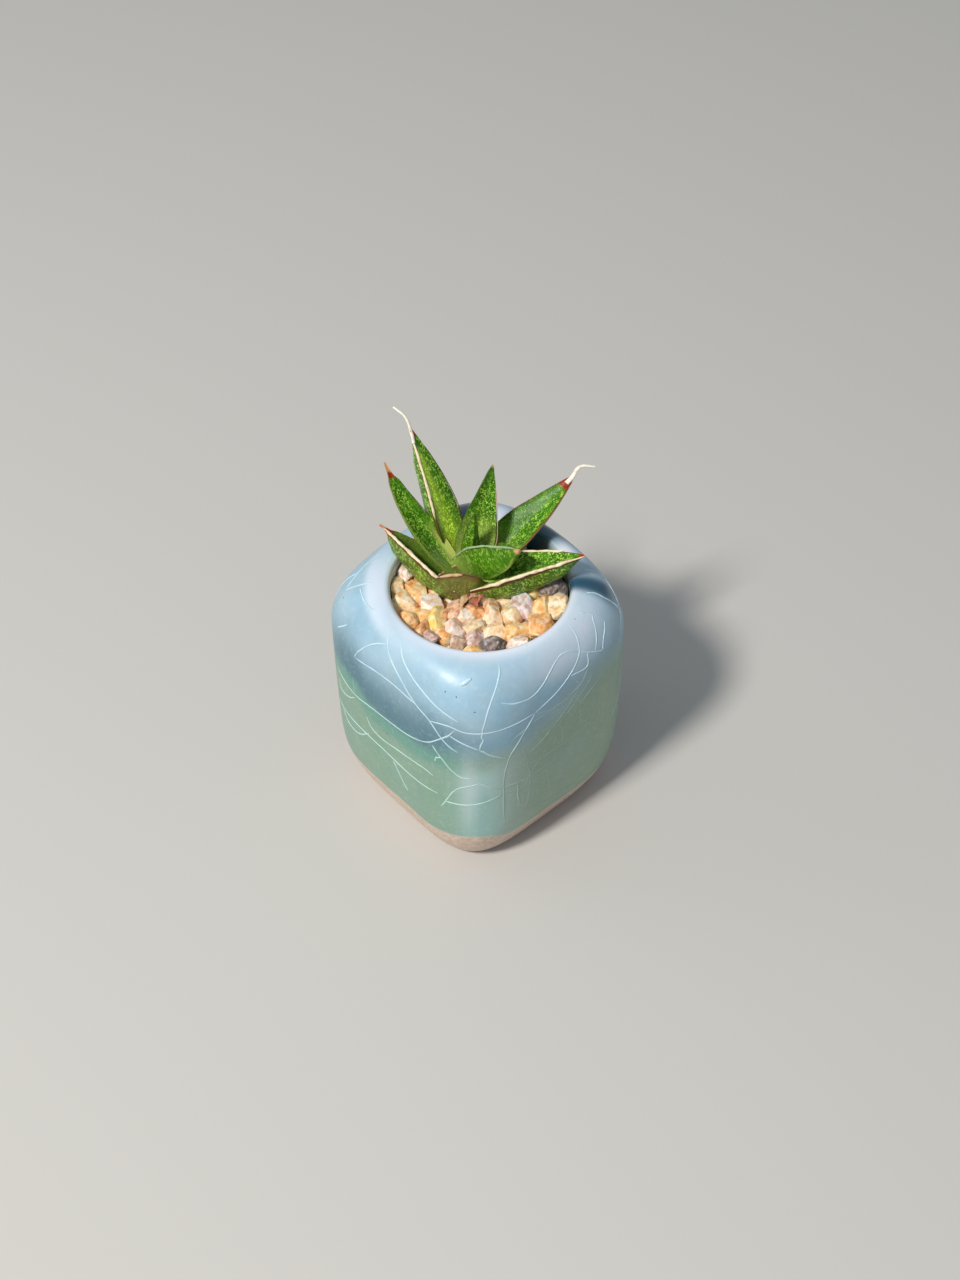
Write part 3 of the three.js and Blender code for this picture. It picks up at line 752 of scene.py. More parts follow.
def leaf_finish(look):
    """Mottled leaf skin: green with pale worm-like spots, a brown line by the margins and a burnt tip."""
    f = Finish(
        "leaf_skin", 0.34, Specular_IOR_Level=0.22, Subsurface_Weight=0.12, Subsurface_Scale=0.0006,
        Subsurface_Radius=(0.6, 1.0, 0.15),
    )
    tint = LEAF_TINTS
    spotted, olive, lined = f.parts(f.mark("leaf_tone"))
    red_from, tan_from, band_and_painted_light = f.parts(f.mark("leaf_tip"))
    t, reach, under = f.parts(f.mark("leaf_place"))
    at = f.mark("leaf_mm")
    green = f.mix(f.ramp(f.noise(at, 0.25, 3), 0.35, 0.68), look.green, tint["light green"])
    green = f.mix(f.product(under, 0.3), green, tint["under green"])
    green = f.mix(olive, green, tint["olive"])

    # Mottling of worm-like marks and dots, in denser and thinner fields, which thins out towards the tip.
    worms = f.ramp(f.noise(f.stretch(at, (1.15, 0.9, 1)), 1.3, 2, 0.5, 1.4), 0.525, 0.585)
    dots = f.ramp(f.cells(f.stretch(at, (1.15, 0.8, 1)), 1.55), 0.17, 0.33, 1.0, 0.0)
    dense = f.ramp(f.noise(at, 0.4, 2), 0.3, 0.62, 0.55, 1.0)
    mottle = f.product(f.maths("MAXIMUM", worms, dots), dense)
    spots = f.product(f.product(mottle, spotted), f.ramp(t, 0.82, 0.97, 1.0, 0.25))
    fleck = f.mix(f.ramp(f.noise(at, 1.8, 2), 0.35, 0.65), look.spots, tint["green spot"])
    colour = f.mix(spots, green, fleck)

    # Paler at the base, less so below and on olive leaves, along the pale bands, and along the painted
    # highlight of a keel.
    base = f.product(f.ramp(t, -0.05, 0.36, 0.65, 0.0), f.ramp(olive, 0.05, 0.35, 1.0, 0.2))
    base = f.product(base, f.ramp(f.product(under, lined), 0.0, 1.0, 1.0, 0.25))
    colour = f.mix(base, colour, tint["base"])
    colour = f.mix(band_and_painted_light, colour, tint["band"])

    # Sunlight that comes through the blade, where the band is negative.
    through = f.product(band_and_painted_light, -1.0)
    colour = f.mix(f.product(through, 0.5), colour, tint["sunlit"])
    glow = f.maths("MULTIPLY_ADD", mottle, 0.6, 0.28)
    f.feed(f.shader.inputs["Emission Color"], tint["glow"])
    f.feed(f.shader.inputs["Emission Strength"], f.product(f.ramp(through, 0.0, 1.0), glow))

    # The brown line by the margins, then the red and the tan of the tip behind ragged fronts.
    colour = f.mix(f.product(f.ramp(reach, 0.88, 0.96), lined), colour, tint["brown line"])
    ragged = f.maths("SUBTRACT", f.maths("MULTIPLY_ADD", f.noise(at, 0.9, 3), 0.06, t), 0.03)
    burnt = f.mix(f.ramp(f.noise(at, 1.6, 2), 0.4, 0.6, 0.0, 0.7), look.tip, tint["dark tip"])
    colour = f.mix(f.ramp(f.maths("SUBTRACT", ragged, red_from), -0.015, 0.02), colour, burnt)
    colour = f.mix(f.ramp(f.maths("SUBTRACT", ragged, tan_from), -0.01, 0.02), colour, tint["tan tip"])
    f.colour(colour)
    f.roughness(f.ramp(spots, 0.0, 1.0, 0.32, 0.42))
    f.bump(f.maths("ADD", f.product(spots, 0.6), f.noise(at, 2.2, 3)), 0.00014, 0.6)
    return f.material


def margin_finish():
    """Horny margin and dried thread, browner in places and at the tip."""
    f = Finish("horny_margin", 0.5)
    at = f.place()
    tint = f.mark("margin_tint")
    t, burnt, _ = f.parts(f.mark("leaf_place"))
    stain = f.ramp(f.noise(at, 650, 4, 0.6), 0.46, 0.72, 0.0, 0.65)
    colour = f.mix(stain, tint, f.darkened(tint, (0.6, 0.4, 0.28)))
    rosy = f.darkened(colour, (1.0, 0.72, 0.62))
    colour = f.mix(f.product(burnt, f.ramp(t, 0.65, 1.0)), colour, rosy)
    colour = f.mix(f.product(burnt, f.ramp(t, 0.9, 0.97)), colour, (0.4, 0.1, 0.035))
    f.colour(colour)
    f.bump(f.noise(at, 1500, 3), 0.0001, 0.8)
    return f.material


def stone_finish(name, dark, light):
    """Chipped stone with grain, veins, dusty patches and painted shade in its hollows."""
    f = Finish(
        "stone_" + name, 0.55, Subsurface_Weight=0.2, Subsurface_Scale=0.0012,
        Subsurface_Radius=(1.0, 0.5, 0.2),
    )
    at = f.place()
    k = f.ramp(f.noise(at, 330, 5, 0.62, 0.4), 0.36, 0.66)
    colour = f.mix(k, dark, light)
    grain = f.ramp(f.noise(at, 1500, 3), 0.55, 0.75, 0.0, 0.45)
    colour = f.mix(grain, colour, tuple(0.45 * c for c in dark))
    hollow_shade, _, _ = f.parts(f.mark("stone_hollow_shade"))
    # Painted shade: darker and more orange down in the hollows.
    colour = f.mix(f.product(hollow_shade, 0.85), colour, (dark[0] * 0.85, dark[1] * 0.58, dark[2] * 0.4))
    chalk = f.ramp(f.noise(at, 620, 3), 0.5, 0.68, 0.0, 0.6)
    colour = f.mix(chalk, colour, tuple(blend(c, 0.97, 0.5) for c in light))
    f.colour(colour)
    f.bump(f.noise(at, 900, 5, 0.65), 0.00035, 0.8)
    return f.material


def dry_finish(name, dark, light, scale):
    """Dull brown tissue or earth."""
    f = Finish(name, 0.85)
    at = f.place()
    colour = f.mix(f.ramp(f.noise(at, scale, 5, 0.65), 0.35, 0.68), dark, light)
    f.colour(colour)
    f.bump(f.noise(at, scale * 2.3, 4), 0.0003, 0.9)
    return f.material


# ---------------------------------------------------------------- pot


def squared(angle, half, power):
    """Radius of a rounded square of that half width at an angle."""
    return half / (abs(math.cos(angle)) ** power + abs(math.sin(angle)) ** power) ** (1 / power)


def hand_made(angle, z):
    """Slight unevenness of a cast and glazed wall, which steps in where the foot is bare."""
    around = Vector((math.cos(angle), math.sin(angle), z / 26))
    uneven = 0.22 * noise.noise(around * 1.4) + 0.05 * noise.noise(around * 6)
    bare = smooth((CLAY_LINE + 0.3 * noise.noise(around * 5) - z) / 0.3)
    return uneven * smooth(z / 6) - CLAY_STEP * bare


def pot_point(angle, z, inset=0.0):
    """Point of the pot's outside at an angle and a height, in millimetres."""
    z = clamp(z, 0, POT_HEIGHT)
    half = POT_HALF * eased(OUTER_HALF, z) - inset
    r = squared(angle, half, along(SQUARENESS, z))
    fall = math.sqrt(1 - clamp((z - SHOULDER_START) / SHOULDER_DROP) ** 2)
    r = blend(LIP_RADIUS, r, fall) + hand_made(angle, z)
    return Vector((r * math.cos(angle), r * math.sin(angle), z)) + MOUTH_CENTRE * (1 - fall)


def pot_rings():
    """Rings of the pot: out from the foot, up the wall, over the lip and down inside to the floor."""
    angles = [2 * math.pi * k / POT_SIDES for k in range(POT_SIDES)]

    def inner_ring(z, half, power, share):
        made = []
        for a in angles:
            r = blend(half, squared(a, half, power), share)
            made.append(Vector((r * math.cos(a), r * math.sin(a), z)) + MOUTH_CENTRE * (1 - share))
        return made

    rings = []
    for k in range(7):
        s = math.pi / 2 * k / 6
        inset = FOOT_ROUND * (1 - math.sin(s))
        rings.append([pot_point(a, FOOT_ROUND * (1 - math.cos(s)), inset) for a in angles])
    z = 1.8
    while z < SHOULDER_START - 0.4:
        rings.append([pot_point(a, z) for a in angles])
        z += 0.45 if z < 14 else 0.9
    shoulder_steps = 44
    for k in range(shoulder_steps):
        s = math.pi / 2 * k / shoulder_steps
        rings.append([pot_point(a, SHOULDER_START + SHOULDER_DROP * math.sin(s)) for a in angles])
    for k in range(11):
        s = math.pi / 2 * (1 + k / 10)
        r = LIP_RADIUS + LIP_ROUND * math.cos(s)
        rings.append(inner_ring(POT_HEIGHT - LIP_ROUND + LIP_ROUND * math.sin(s), r, 2, 0))
    z = POT_HEIGHT - LIP_ROUND - 0.7
    while z > 7.6:
        rings.append(inner_ring(z, along(CAVITY, z), CAVITY_POWER, along(CAVITY, z, 2)))
        z -= 0.7 if z > 56 else 4
    for z, half in CAVITY_FLOOR:
        rings.append(inner_ring(z, half, CAVITY_POWER, 1.0))
    return rings


def drilled(pot):
    """Cuts the drain holes through the floor of the pot."""
    drills = Shell()
    for k in range(DRAIN_HOLES):
        a = 2 * math.pi * (k + 0.25) / DRAIN_HOLES
        centre = Vector((DRAIN_REACH * math.cos(a), DRAIN_REACH * math.sin(a), 0))
        way = [centre + Vector((0, 0, z)) for z in (-1, FLOOR_TOP + 1)]
        drills.tube(way, lambda share: DRAIN_RADIUS, sides=40)
    mesh = drills.mesh("drills")
    drill = bpy.data.objects.new("drills", mesh)
    bpy.context.scene.collection.objects.link(drill)
    cut = pot.modifiers.new("drain_holes", "BOOLEAN")
    cut.operation = "DIFFERENCE"
    cut.solver = "EXACT"
    cut.object = drill
    pot.data = bpy.data.meshes.new_from_object(pot.evaluated_get(bpy.context.evaluated_depsgraph_get()))
    pot.modifiers.clear()
    bpy.data.objects.remove(drill)
    bpy.data.meshes.remove(mesh)


def pale_wall(z, turn, corner_tint_and_sheen):
    """How pale the glaze is over the four corners and to the right of the front one, and up the front corner,
    where it is a painted highlight.
    """
    corner = math.cos(math.radians(2 * (turn - 45))) ** 2
    worn = 0.3 * corner**60 * smooth((55 - z) / 20) * blend(0.4, 1, smooth((z - 14) / 14))
    beside = 0.13 * hump(turn, FRONT_CORNER_TURN + 12, 12) * smooth((50 - z) / 10)
    return max(worn, beside) + 0.15 * corner_tint_and_sheen * smooth((z - 26) / 8)


def lip_paleness_and_sheen(z, turn, reach):
    """How pale the lip is: thin glaze at its edge, with painted sheen at the front and painted highlights
    left, right and behind.
    """
    top = 0.8 * hump(reach, LIP_RADIUS - 0.85, 0.4) if z > POT_HEIGHT - LIP_ROUND else 0.0
    front = 0.98 * (0.5 + 0.5 * math.cos(math.radians(turn - FRONT_LIP_TURN))) * hump(reach, 21.3, 3.3)
    left = 0.62 * smooth((28.5 - reach) / 2.5) * hump(turn, LEFT_FACE_TURN - 36, 35)
    right = 0.5 * smooth((33 - reach) / 6) * smooth((z - 57) / 6) * hump(turn, RIGHT_FACE_TURN, 35)
    behind = [
        weight * hump(reach, middle, broad) * hump(turn, way, wide)
        for way, wide, middle, broad, weight in PAINTED_LIP_HIGHLIGHTS
    ]
    return max(top, front, left, right, *behind)


def painted_lip_shadow(z, turn, reach):
    """How dark the painted shadows of the leaves are on the lip."""
    painted_shadow = 0.0
    for way, wide, weight in PAINTED_LIP_SHADOWS:
        off = (turn - way + 180) % 360 - 180
        painted_shadow = max(painted_shadow, weight * math.exp(-((off / wide) ** 4)))
    return painted_shadow * smooth((34 - reach) / 5) * smooth((z - 56) / 4)


def glaze_marks(p):
    """Marks of a point of the pot for its finish: zone, edge with painted highlights, and painted shadow of
    the glaze.
    """
    z = p.z
    reach = (p - MOUTH_CENTRE).xy.length
    turn = math.degrees(math.atan2(p.y, p.x)) % 360
    around = Vector((p.x, p.y, p.z)) * 0.11
    line = along(BLUE_LINE, turn) + 1.6 * noise.noise(around) + 0.5 * noise.noise(around * 4)
    green = smooth(0.5 + (line - z) / along(BLUE_LINE, turn, 2))
    facing = smooth((math.cos(math.radians(turn - LEFT_FACE_TURN)) - 0.53) / 0.38)
    rise = 9 + 12 * facing
    deep = (0.2 + 0.8 * facing) * smooth((line + rise - z) / (rise - 3))
    teal = max(0.3, smooth((z - line + 9) / 5)) * (0.1 + 0.9 * facing)
    # The front corner's lighter turquoise, partly its own colour and partly a painted highlight.
    corner_tint_and_sheen = hump(turn, FRONT_CORNER_TURN, 10) * smooth((44 - z) / 8) * smooth((z - 7) / 8)
    thin = smooth(0.72 + (along(THIN_LINE, turn) - z) / 2.6)
    bare = smooth((CLAY_LINE - z) / 0.3)
    inside = smooth((MOUTH_RADIUS + 0.9 - reach) / 0.7) if z > 50 else float(reach < 24 and z > 3)
    # Paleness: thin glaze, painted highlights and sheen on the lip, and the front corner's painted highlight.
    pale = max(pale_wall(z, turn, corner_tint_and_sheen), lip_paleness_and_sheen(z, turn, reach))
    return (green, deep, thin), (pale, inside, bare), (painted_lip_shadow(z, turn, reach), teal, corner_tint_and_sheen)


def marked(pot):
    """Marks each point of the pot with the zone of the glaze that it lies in."""
    marks = [glaze_marks(v.co / MM) for v in pot.data.vertices]
    for name, values in zip(("glaze_zone", "glaze_paleness_sheen_inside_bare", "glaze_shadow_teal_corner"), zip(*marks)):
        layer = pot.data.attributes.new(name, "FLOAT_VECTOR", "POINT")
        layer.data.foreach_set("vector", [c for v in values for c in v])


def drawn_cracks(seed, count, low, high, top):
    """Arcs laid by rule between two angles and up to a height."""
    draw = random.Random(seed)
    lines = []
    while len(lines) < count:
        a, z = draw.uniform(low, high), draw.uniform(12, top)
        way = draw.uniform(0, 2 * math.pi)
        turn = draw.uniform(-0.3, 0.3)
        line = []
        for _ in range(draw.randint(3, 7)):
            if not (9 < z < top + 0.8 and low - 3 < a < high + 6):
                break
            line.append((a, z))
            way += turn
            a += 11 * math.cos(way)
            z += (6.5 if z < SHOULDER_START else 3) * math.sin(way)
        if len(line) > 2:
            lines.append(line)
    return lines


def on_glaze(a, z):
    """Point on the glaze and the way out of it."""
    east = pot_point(a + 0.01, z) - pot_point(a - 0.01, z)
    north = pot_point(a, z + 0.15) - pot_point(a, z - 0.15)
    return pot_point(a, z), east.cross(north).normalized()


class HAWORTHIA_OT_pot(bpy.types.Operator):
    """Build the glazed pot with its lip, foot and drain holes"""

    bl_idname = "haworthia.pot"
    bl_label = "Pot"

    def execute(self, context):
        shell = Shell()
        shell.skin(pot_rings())
        made = shell.piece("glazed_pot", [glaze_finish(context.scene.haworthia_pot)])
        drilled(made)
        marked(made)
        made.data.set_sharp_from_angle(angle=math.radians(55))
        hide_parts("pot")
        return {"FINISHED"}


class HAWORTHIA_OT_crackle(bpy.types.Operator):
    """Lay the crackle lines, the specks and the bead of glaze onto the pot"""

    bl_idname = "haworthia.crackle"
    bl_label = "Glaze crackle"

    def line(self, shell, route, half, number, dull):
        """One crackle line that lies in the glaze, duller low on the front corner and the right face."""
        path, normals, tones = [], [], []
        for k, p in enumerate(curve_through([Vector((a, z, 0)) for a, z in route], 12)):
            drift = 0.5 * noise.noise(Vector((k * 0.12, number * 3.7, 0)))
            at, out = on_glaze(math.radians(p.x + drift), clamp(p.y, 6, POT_HEIGHT - 0.3))
            path.append(at)
            normals.append(out)
            worn = 0.8 * smooth((p.x - FRONT_CORNER_TURN + 1) / 9) * smooth((50 - p.y) / 10)
            blue = smooth((p.y - along(BLUE_LINE, p.x % 360)) / 6)
            tones.append((dull + worn + 0.3 * noise.noise(Vector((k * 0.1, number, 8))), blue, 0))

        def radius(share):
            taper = min(1.0, 8 * share + 0.3, 8 * (1 - share) + 0.3)
            return half * taper * (0.85 + 0.45 * noise.noise(Vector((share * 9, number, 5))))

        shell.tube(
            path, radius, sides=6, flat=0.4, up=lambda k: normals[k],
            crackle_tone=lambda share: tones[round(share * (len(tones) - 1))],
        )

    def bead(self, shell):
        """The long bead of glaze on the shoulder."""
        shell.tube(
            curve_through([Vector(p) for p in BEAD], 6),
            lambda share: 0.12 + 0.42 * math.sin(math.pi * share) ** 0.6,
            sides=16, flat=0.8, up=lambda k: Vector((-0.5, -0.5, 0.7)), crackle_tone=lambda share: (0, 1, 0),
        )

    def speck(self, shell, p):
        """One dark speck, sunk in the glaze with its top just proud of it."""
        out = (p - SHOULDER_MIDDLE).normalized()
        at = p
        if math.hypot(p.x, p.y) > 26:
            at, out = on_glaze(math.atan2(p.y, p.x), p.z)
        shell.tube([at - out * 0.12, at, at + out * 0.05], lambda share: 0.22 - 0.12 * share, 1, 10)

    def execute(self, context):
        look = context.scene.haworthia_pot
        half = look.crackle_width / MM / 2
        shell = Shell()
        for number, route in enumerate((*CRACKS, *drawn_cracks(*BACK_CRACKS))):
            self.line(shell, route, half, number, 0.05)
        for number, route in enumerate((*FAINT_CRACKS, *drawn_cracks(*RIGHT_CRACKS))):
            self.line(shell, route, half * 0.55, number + 0.5, 0.7)
        self.bead(shell)
        for p in SPECKS:
            self.speck(shell, Vector(p))
        made = shell.piece("glaze_crackle", [crackle_finish(look), speck_finish()])
        return {"FINISHED"}


# ---------------------------------------------------------------- gravel


def ball(fine):
    """A ball mesh to carve stones from, made once for each fineness."""
    name = "ball_%d" % fine
    mesh = bpy.data.meshes.get(name)
    if mesh is None:
        mesh = bpy.data.meshes.new(name)
        cut = bmesh.new()
        bmesh.ops.create_icosphere(cut, subdivisions=fine, radius=1)
        cut.to_mesh(mesh)
        cut.free()
    return mesh


def chipped_stone(draw, size, centre, fine):
    """Points, faces and painted shade of the hollows of one stone: a ball with flats broken off it, then
    roughened.
    """
    rough = ball(fine)
    flats = []
    for _ in range(draw.randint(8, 11)):
        way = Vector((draw.gauss(0, 1), draw.gauss(0, 1), draw.gauss(0, 1))).normalized()
        flats.append((way, draw.uniform(0.52, 0.86)))
    turn = Euler((draw.uniform(-0.4, 0.4), draw.uniform(-0.4, 0.4), draw.uniform(-0.5, 0.5))).to_matrix()
    shift = Vector((draw.uniform(-50, 50), draw.uniform(-50, 50), 0))
    points, hollow_shades = [], []
    for v in rough.vertices:
        p = v.co.copy()
        for way, reach in flats:
            over = p.dot(way) - reach
            if over > 0:
                p -= way * over * 0.97
        pitted = noise.noise(p * 4.2 + shift)
        p *= 1 + 0.1 * noise.noise(p * 1.9 + shift) + 0.07 * pitted + 0.035 * noise.noise(p * 9 + shift)
        p = turned(turn @ (Vector((p.x * size.x, p.y * size.y, p.z * size.z)) * 0.7))
        points.append(p + centre)
        # Painted shade for the pits, which lie deeper.
        hollow_shades.append((smooth(-0.1 - 2.6 * pitted), 0, 0))
    return points, [tuple(f.vertices) for f in rough.polygons], hollow_shades


class HAWORTHIA_OT_gravel(bpy.types.Operator):
    """Lay the coarse stones round the plant"""

    bl_idname = "haworthia.gravel"
    bl_label = "Gravel"

    def lay(self, draw, size, centre, tint, fine):
        """One stone, kept inside the wall of the pot and above the soil."""
        room = MOUTH_RADIUS - WALL_GAP
        points, faces, hollow_shades = chipped_stone(draw, size, centre, fine)
        shell = self.shell
        shell.marks["stone_hollow_shade"].extend(hollow_shades)
        start = len(shell.points)
        for p in points:
            out = (p - MOUTH_CENTRE) * Vector((1, 1, 0))
            if out.length > room:
                p += out * (room / out.length - 1)
            p.z = max(p.z, GRAVEL_FLOOR)
        shell.points.extend(points)
        shell.faces.extend(tuple(start + i for i in f) for f in faces)
        shell.finishes.extend([tint] * len(faces))

    def execute(self, context):
        look = context.scene.haworthia_gravel
        draw = random.Random(look.seed)
        tints = list(STONE_TINTS)
        self.shell = Shell()
        self.shell.marks["stone_hollow_shade"] = []
        placed = []
        for x, y, broad, deep, tint in STONES:
            size = Vector((broad, deep, 0.43 * (broad + deep))) * 1.07
            banked = 0.8 * smooth((math.hypot(x, y) - 14) / 4)
            z = GRAVEL_TOP + banked - size.z * 0.5 - draw.uniform(0.0, 0.7)
            self.lay(draw, size, Vector((x, y, z)), tints.index(tint), 4)
            placed.append((x, y, z, 0.8))
        spacing = look.spacing / MM
        for drop, tries in FILL_LAYERS:
            level = GRAVEL_TOP - FILL_DEPTH + drop
            for _ in range(tries):
                a = draw.uniform(0, 2 * math.pi)
                reach = (MOUTH_RADIUS - 2.1) * math.sqrt(draw.random())
                x, y = MOUTH_CENTRE.x + reach * math.cos(a), MOUTH_CENTRE.y + reach * math.sin(a)
                near = [q for q in placed if abs(q[2] - level) < 1.6]
                if all(math.hypot(q[0] - x, q[1] - y) > spacing + q[3] for q in near):
                    size = Vector((draw.uniform(4, 5.6), draw.uniform(4, 5.4), draw.uniform(3.6, 4.6)))
                    tint = tints.index(draw.choice(FILL_TINTS))
                    z = level - draw.uniform(0, 0.6)
                    self.lay(draw, size, Vector((x, y, z)), tint, 3)
                    placed.append((x, y, z, 0.0))
        made = self.shell.piece("gravel_stones", [stone_finish(n, *STONE_TINTS[n]) for n in tints], 42)
        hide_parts("gravel_top_dressing")
        return {"FINISHED"}


# ---------------------------------------------------------------- leaves


def turned(p):
    """A point or a way of the rosette's own frame, in the frame of the part."""
    return Matrix.Rotation(ROSETTE_TURN, 3, "Z") @ p


def width_share(t):
    """Width of a leaf at a share of its length, as a share of its greatest width."""
    if t < WIDEST_AT:
        return BASE_SHARE + (1 - BASE_SHARE) * math.sin(math.pi / 2 * max(t, 0) / WIDEST_AT)
    return 1 - ((t - WIDEST_AT) / (1 - WIDEST_AT)) ** 1.35


def leaf_frames(leaf, steps):
    """Centre line and cross directions of a leaf, in the rosette's own frame."""
    at = Vector(leaf["base"])

    def forward(t):
        lift = math.radians(leaf["lift"] + leaf["bend"] * t)
        head = math.radians(leaf["head"] + leaf["sway"] * t)
        return Vector((math.cos(lift) * math.cos(head), math.cos(lift) * math.sin(head), math.sin(lift)))

    frames = []
    for k in range(steps + 1):
        t = k / steps
        if k:
            at = at + forward(t - 0.5 / steps) * (leaf["length"] / steps)
        head = math.radians(leaf["head"] + leaf["sway"] * t)
        ahead = forward(t)
        level = Vector((-math.sin(head), math.cos(head), 0))
        side = Matrix.Rotation(math.radians(leaf["roll"] + leaf["twist"] * t), 3, ahead) @ level
        frames.append((t, at, ahead, side, ahead.cross(side)))
    return frames


# Points round a leaf, over its upper face from the left and back below: the place across, from 1 on the left
# to -1 on the right, and 1 for the underside.
AROUND_LEAF = (
    *((1 - 2 * k / TOP_POINTS, 0.0) for k in range(TOP_POINTS)),
    *((-1 + 2 * k / UNDER_POINTS, 1.0) for k in range(UNDER_POINTS)),
)


class GrownLeaf:
    """One leaf as a shell: its mottled skin, horny margins, frayed edge and dried thread."""

    def __init__(self, row, number):
        self.row = {**PLAIN_LEAF, **row}
        self.number = number
        self.seed = Vector((number * 7.3, number * 3.1, 0))
        self.frames = leaf_frames(self.row, LEAF_STEPS)
        self.shell = Shell()
        self.edges = ([], [])
        self.lifts = []
        self.grow_skin()
        for n, (half, tint) in enumerate(self.row["margins"]):
            self.grow_margin(n, half, tint)
        if self.row["fray"]:
            self.grow_fray(*self.row["fray"])
        if self.row["thread"]:
            self.grow_thread()

    def uneven(self, x, y=0.0, z=0.0):
        """Steady unevenness of this leaf's own."""
        return noise.noise(self.seed + Vector((x, y, z)))

    def stations(self):
        """Frames from behind the base to just beyond the tip."""
        length = self.row["length"]
        _, first, ahead, side, up = self.frames[0]
        reaches = (BASE_BACK, BASE_BACK / 2)
        back = [(-reach / length, first - ahead * reach, ahead, side, up) for reach in reaches]
        _, last, ahead, side, up = self.frames[-1]
        return [*back, *self.frames, (1 + TIP_BEYOND / length, last + ahead * TIP_BEYOND, ahead, side, up)]

    def section(self, t):
        """Half the width and the depth of the keel at a share of the length."""
        row = self.row
        share = width_share(min(t, 1))
        grow = clamp(1 + t * 4, 0.75, 1) * (1 - 0.4 * smooth((t - row["spike"]) / 0.07))
        grow *= 0.25 if t > 1 else 1
        wide = (row["width"] / 2 * share + 0.35) * grow
        keel = (row["thick"] * (0.35 + 0.65 * share) * min(1, share * 2.2) + BLADE_EDGE / 2) * grow
        return wide, keel

    def height(self, s, under, t, wide, keel):
        """Height of the skin over the leaf's own plane at a place across."""
        rim = self.row["cup"] * wide
        if under:
            edge = rim - min(BLADE_EDGE, 0.9 * wide)
            h = blend(-keel, edge, abs(s) ** 1.7) - 0.07 * keel * hump(s, 0, 0.12)
        else:
            h = rim * blend(s * s, 1, self.row["fill"]) - 0.12 * wide * hump(s, 0, 0.16) * (1 - t)
        bumpy = self.uneven(s * wide * 0.7, t * self.row["length"] * 0.35, under * 9)
        return h + 0.08 * bumpy * (1 - s * s) * min(1, wide)

    def wash(self, s, under, t):
        """Pale band where positive, with a painted highlight along the keel where the row gives one, and
        sunlight through the blade where negative.
        """
        row = self.row
        if row["band"]:
            side, begin, end, amount = row["band"]
            return amount * smooth((side * s - begin) / 0.4) * smooth((end - t) / 0.3)
        fade = smooth((0.95 - t) / 0.2)
        # Painted highlight along the keel.
        if row["keel_highlight"]:
            middle, broad, amount = row["keel_highlight"]
            return amount * under * hump(s, middle, broad) * fade
        lit = hump(s, 0.6 - 0.75 * (1 - t) ** 2, 0.36 + 0.3 * (1 - t))
        return (under - 1) * row["glow"] * lit * fade

    def grow_skin(self):
        """The skin with its marks, and the paths of the margins along its edges."""
        row = self.row
        spots, olive, lined = row["tone"]
        plain_side, plain_from, plain_by = row["plain"]
        # The upper face is kept darker where the row says so, partly by its own tone, partly as painted
        # shade.
        kept, browner = row["upper_tone_and_shade"]
        rings, at_mm, place, tone, tips = [], [], [], [], []
        for t, at, _, side, up in self.stations():
            wide, keel = self.section(t)
            waver = 0.035 * wide * self.uneven(t * 6)
            ring = []
            for s, under in AROUND_LEAF:
                across = s * wide * (1 - 0.02 * under) + waver
                ring.append(turned(at + side * across + up * self.height(s, under, t, wide, keel)))
                at_mm.append((s * wide + under * 40, t * row["length"], self.number * 13.0))
                place.append((t, abs(s), under))
                bare = 1 - plain_by * (1 - under) * smooth((plain_side * s - plain_from) / 0.4)
                tone.append((spots * bare * blend(kept, 1, under), olive + browner * (1 - under), lined))
                tips.append((*row["tip"], self.wash(s, under, t)))
            rings.append(ring)
            rim = row["cup"] * wide - BLADE_EDGE * 0.42
            for edge, sign in zip(self.edges, (1, -1)):
                edge.append(turned(at + side * (sign * wide + waver) + up * rim))
            self.lifts.append(turned(up))
        self.shell.skin(rings, 0, leaf_mm=at_mm, leaf_place=place, leaf_tone=tone, leaf_tip=tips)

    def grow_margin(self, n, half, tint):
        """The horny margin on the left (0) or the right (1)."""
        row = self.row
        edge = self.edges[n]
        lumps = 0.36 if half > 0.25 else 0.25
        hidden = row["hidden"] if n == 0 else 0
        for k, p in enumerate(edge):
            edge[k] = p + self.lifts[k] * (0.5 * half * self.uneven(k * 0.16, n * 5, 6))

        def out(share):
            return smooth((share - hidden) / 0.08) if hidden else 1

        def radius(share):
            rough = 1 + lumps * self.uneven(share * 24, n * 5, 2)
            rough += 0.6 * lumps * self.uneven(share * 70, n * 5, 4)
            rough *= 0.3 + 0.7 * out(share)
            return half * rough * min(1.0, 0.35 + 3 * (1 - share), 0.3 + 5 * share)

        def shown(share):
            return Vector(MARGIN_TINTS["green"]).lerp(Vector(MARGIN_TINTS[tint]), out(share))

        burnt = row["burnt"]
        if burnt is None:
            burnt = 0.85 if row["tip"][0] < 1 else 0.25
        if tint == "rim" or n == row["root"]:
            burnt = 0.0
        self.shell.tube(
            edge, radius, 1, 8, 0.9, lambda k: self.lifts[k],
            leaf_place=lambda share: (share, burnt, 0), margin_tint=shown,
        )

    def grow_fray(self, n, begin, end, rise, half, tint):
        """A loose strip that has come away from a margin."""
        path = self.edges[n][int(begin * LEAF_STEPS):int(end * LEAF_STEPS)]
        path = [p + self.lifts[0] * (rise * (k / len(path)) ** 2) for k, p in enumerate(path)]
        self.shell.tube(
            path, lambda share: half * min(1, 0.4 + 3 * share, 0.4 + 2 * (1 - share)), 1, 8,
            leaf_place=lambda share: (0, 0, 0), margin_tint=lambda share: MARGIN_TINTS[tint],
        )

    def grow_thread(self):
        """The dried thread at the tip, from a margin or from the middle of the blade."""
        row = self.row
        _, tip, ahead, _, _ = self.frames[-1]
        root = turned(tip - ahead * 2.2) if row["root"] is None else self.edges[row["root"]][-8]
        path = [root, turned(tip), *(turned(Vector(p)) for p in row["thread"])]

